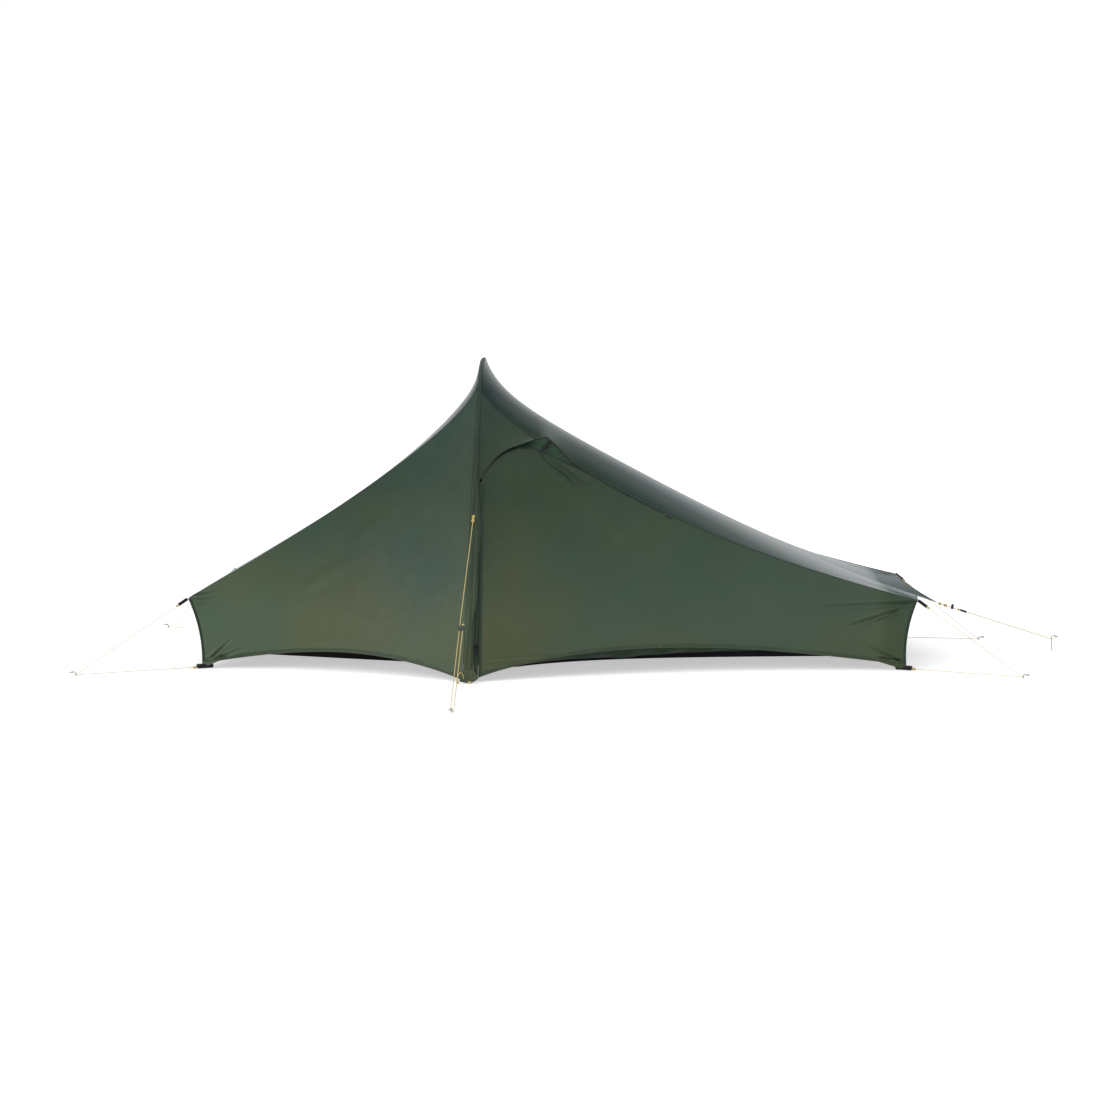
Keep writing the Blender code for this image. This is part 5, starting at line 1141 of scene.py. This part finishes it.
def inner_seam(x):
    """Half width and height of the canopy's seams, and the rise of the canopy between them."""
    t = inner_share(x)
    head = x < HOOP_X
    sag = (np.where(head, 0.031, 0.070) * early_hump(t)
           + np.where(head, 0.015, 0.046) * early_hump(1.0 - t))
    rise = np.where(head, 0.055 * (1.0 - t) ** 8, 0.055 * (1.0 - t) ** 2 + 0.050 * hump(t))
    return mix(JUNCTION_Y, fly_half(x), t) - 0.045, mix(0.860, 0.185, t) - sag, rise


def tub_top(side, x):
    """Upper edge of the tub's side wall."""
    height = 0.095 + 0.018 * hump((x + INNER_END) / (2.0 * INNER_END))
    return np.stack([x, side * (inner_edge(side, x) + 0.012), height], axis=-1)


reach = INNER_END - SEAM_GAP
stations = np.concatenate([HOOP_X - (HOOP_X + reach) * np.linspace(1.0, 0.0, 90)[:-1] ** 1.3,
                           HOOP_X + (reach - HOOP_X) * np.linspace(0.0, 1.0, 130) ** 1.3])
inner_cloth = cloth_finish("inner_cloth_finish", (0.060, 0.050, 0.038), (0.050, 0.045, 0.037),
                           (0.070, 0.060, 0.046), 0.80, 0.20, 0.15, ripstop=0.0042, dust=(0.10, 0.09, 0.07))
inner_seam_tape = stitch_finish("inner_seam_tape", (0.022, 0.020, 0.017), (0.055, 0.050, 0.042), 0.010, 0.75)
half, height, rise = (part[:, None] for part in inner_seam(stations))
s = np.linspace(-1.0, 1.0, 61)[None, :]
over = np.stack([stations[:, None] + 0.0 * s, s * half, height + rise * (1.0 - s ** 2)], axis=-1)
low = tub_top(BACK, stations) + (0.0, 0.0, 0.0006)
down = mix(over[:, -1:], low[:, None], np.linspace(0.0, 1.0, 50)[1:][None, :, None])
points = np.concatenate([over, down], axis=1)
outward = outward_of(points, ABOVE_GROUND)[1:-1]
trims = [band(f"inner_seam_{name}", points[1:-1, column] + (0.0, inset, 0.0), outward[:, column], 0.010,
              0.0007, inner_seam_tape) for name, column, inset in (("front", 0, 0.004), ("back", 60, 0.0))]
panel("inner_canopy_sheet", points, inner_cloth, "inner_canopy", pieces=trims,
      inside=ABOVE_GROUND)


# Front wall of the inner tent. Its grid runs in rings from the D-shaped doorway out to the
# wall's own edges, and every place lies on the straight rise from the tub to the seam.
def front_wall(flat):
    """A flat grid of X and Z laid on the front wall, whose Y is a share of the rise."""
    x, z = flat[..., 0], flat[..., 1]
    half, height, _ = inner_seam(x)
    low = tub_top(FRONT, x)
    share = (z - low[..., 2] - 0.0006) / (height - 0.0014 - low[..., 2] - 0.0006)
    return np.stack([x, mix(low[..., 1], -half, share), z], axis=-1)


def doorway(grow, count):
    """The doorway: upright sides, and a quarter of an ellipse from the foot side over to the
    head side's top corner. Evenly spaced points, from the low head corner round by the foot."""
    middle, half = 0.020, 0.260 + grow
    left, right = middle - half, middle + half
    low, high = 0.130 - grow, 0.550 + grow
    shoulder = mix(low, high, 0.35)
    turn = np.linspace(0.0, np.pi * 0.45, 40)
    arc = np.stack([left + (right - left) * np.cos(turn),
                    shoulder + (high - shoulder) * np.sin(turn)], axis=-1)
    corners = np.concatenate([[(left, low), (right, low)], arc,
                              [(middle - half * 0.92, high), (left, high - half * 0.08), (left, low)]])
    steps = np.concatenate([[0.0], np.cumsum(np.linalg.norm(np.diff(corners, axis=0), axis=-1))])
    at = np.linspace(0.0, steps[-1], count, endpoint=False)
    return np.stack([np.interp(at, steps, corners[:, 0]), np.interp(at, steps, corners[:, 1])], axis=-1)


def inner_sheet(name, flat, node, body, caps=0):
    """A flat grid of rings laid on the front wall, as one stretched sheet."""
    points = front_wall(flat)
    sheet = surface(name, points, inner_cloth, ABOVE_GROUND, 0.0005, ring=True, caps=caps)
    fix(sheet, node, body)
    round(cloth_area(closed(points)), 4)


inner_line = doorway(0.0011, 320)
way = unit(inner_line - (0.02, 0.30))
distance = np.linspace(0.0, 1.4, 2801)
x, z = (inner_line[:, None] + way[:, None] * distance[None, :, None]).transpose(2, 0, 1)
inside = ((np.abs(x) < reach) & (z > np.interp(x, stations, tub_top(FRONT, stations)[:, 2] + 0.0006))
          & (z < np.interp(x, stations, inner_seam(stations)[1] - 0.0014)))
reach_out = distance[np.argmin(inside, axis=1) - 1][None, :, None]
share = np.linspace(0.0, 1.0, 40)[:, None, None]
inner_sheet("inner_front_sheet", inner_line + way * reach_out * share, "inner_wall_front", "shelter")
middle = np.array([-0.03, 0.31])
rings = np.linspace(0.02, 1.0, 46)[:, None, None]
inner_sheet("inner_door_sheet", middle + (doorway(0.0, 300) - middle) * rings, "inner_door", "inner_door",
            caps=1)

# Floor tub: coated black cloth, flat on the ground, folded up at its edges. Each cross section
# runs through nine key points, from the top of the front wall to the top of the back wall.
floor_black = cloth_finish("floor_black_cloth", (0.011, 0.012, 0.012), (0.014, 0.016, 0.015),
                           (0.013, 0.014, 0.014), 0.48, 0.05, 0.0, ripstop=0.0060, dust=(0.07, 0.065, 0.055))
GROUND, ENDS_TOP = 0.0015, 0.1836
xs = np.concatenate([[-1.1309], np.linspace(-INNER_END, INNER_END, 200), [1.1309]])
inside = np.clip(xs, -INNER_END, INNER_END)
front_y, back_y = -inner_edge(FRONT, inside), inner_edge(BACK, inside)
past = inside + 0.130
edge = GROUND + np.where(past < 0.0, -0.045 * past, 0.038 * (1.0 - np.exp(-past / 0.280)))
_, top_y, top_z = tub_top(FRONT, inside).T
keys_y = np.stack([top_y, front_y, *[mix(front_y + 0.27, back_y - 0.27, k / 4.0) for k in range(5)],
                   back_y, back_y + 0.012], axis=-1)
keys_z = np.stack([top_z, edge, *[GROUND + 0.0 * edge] * 5, edge, top_z], axis=-1)
keys_z[[0, -1]] = ENDS_TOP
fine = np.concatenate([np.linspace(a, b, n, endpoint=False) for a, b, n in
                       ((0, 1, 14), (1, 2, 8), (2, 6, 60), (6, 7, 8), (7, 8, 14))] + [[8.0]])
ys, zs = (np.stack([np.interp(fine, range(9), row) for row in keys]) for keys in (keys_y, keys_z))
points = np.stack([xs[:, None] + 0.0 * ys, ys, zs], axis=-1)
panel("floor_tub_sheet", points, floor_black, "inner_floor", inside=(0.0, 0.0, 0.8),
      thickness=0.0012)

# Hanger: a flat strap of the same black webbing from the crown of the pole sleeve down to the
# canopy, sewn on at both ends. It carries the inner tent.
strap("crown_strap", "inner_hanger", (HOOP_X, 0.0, 0.97635), UP, (1.0, 0.0, 0.0), 0.1213, 0.014, 0.0015)
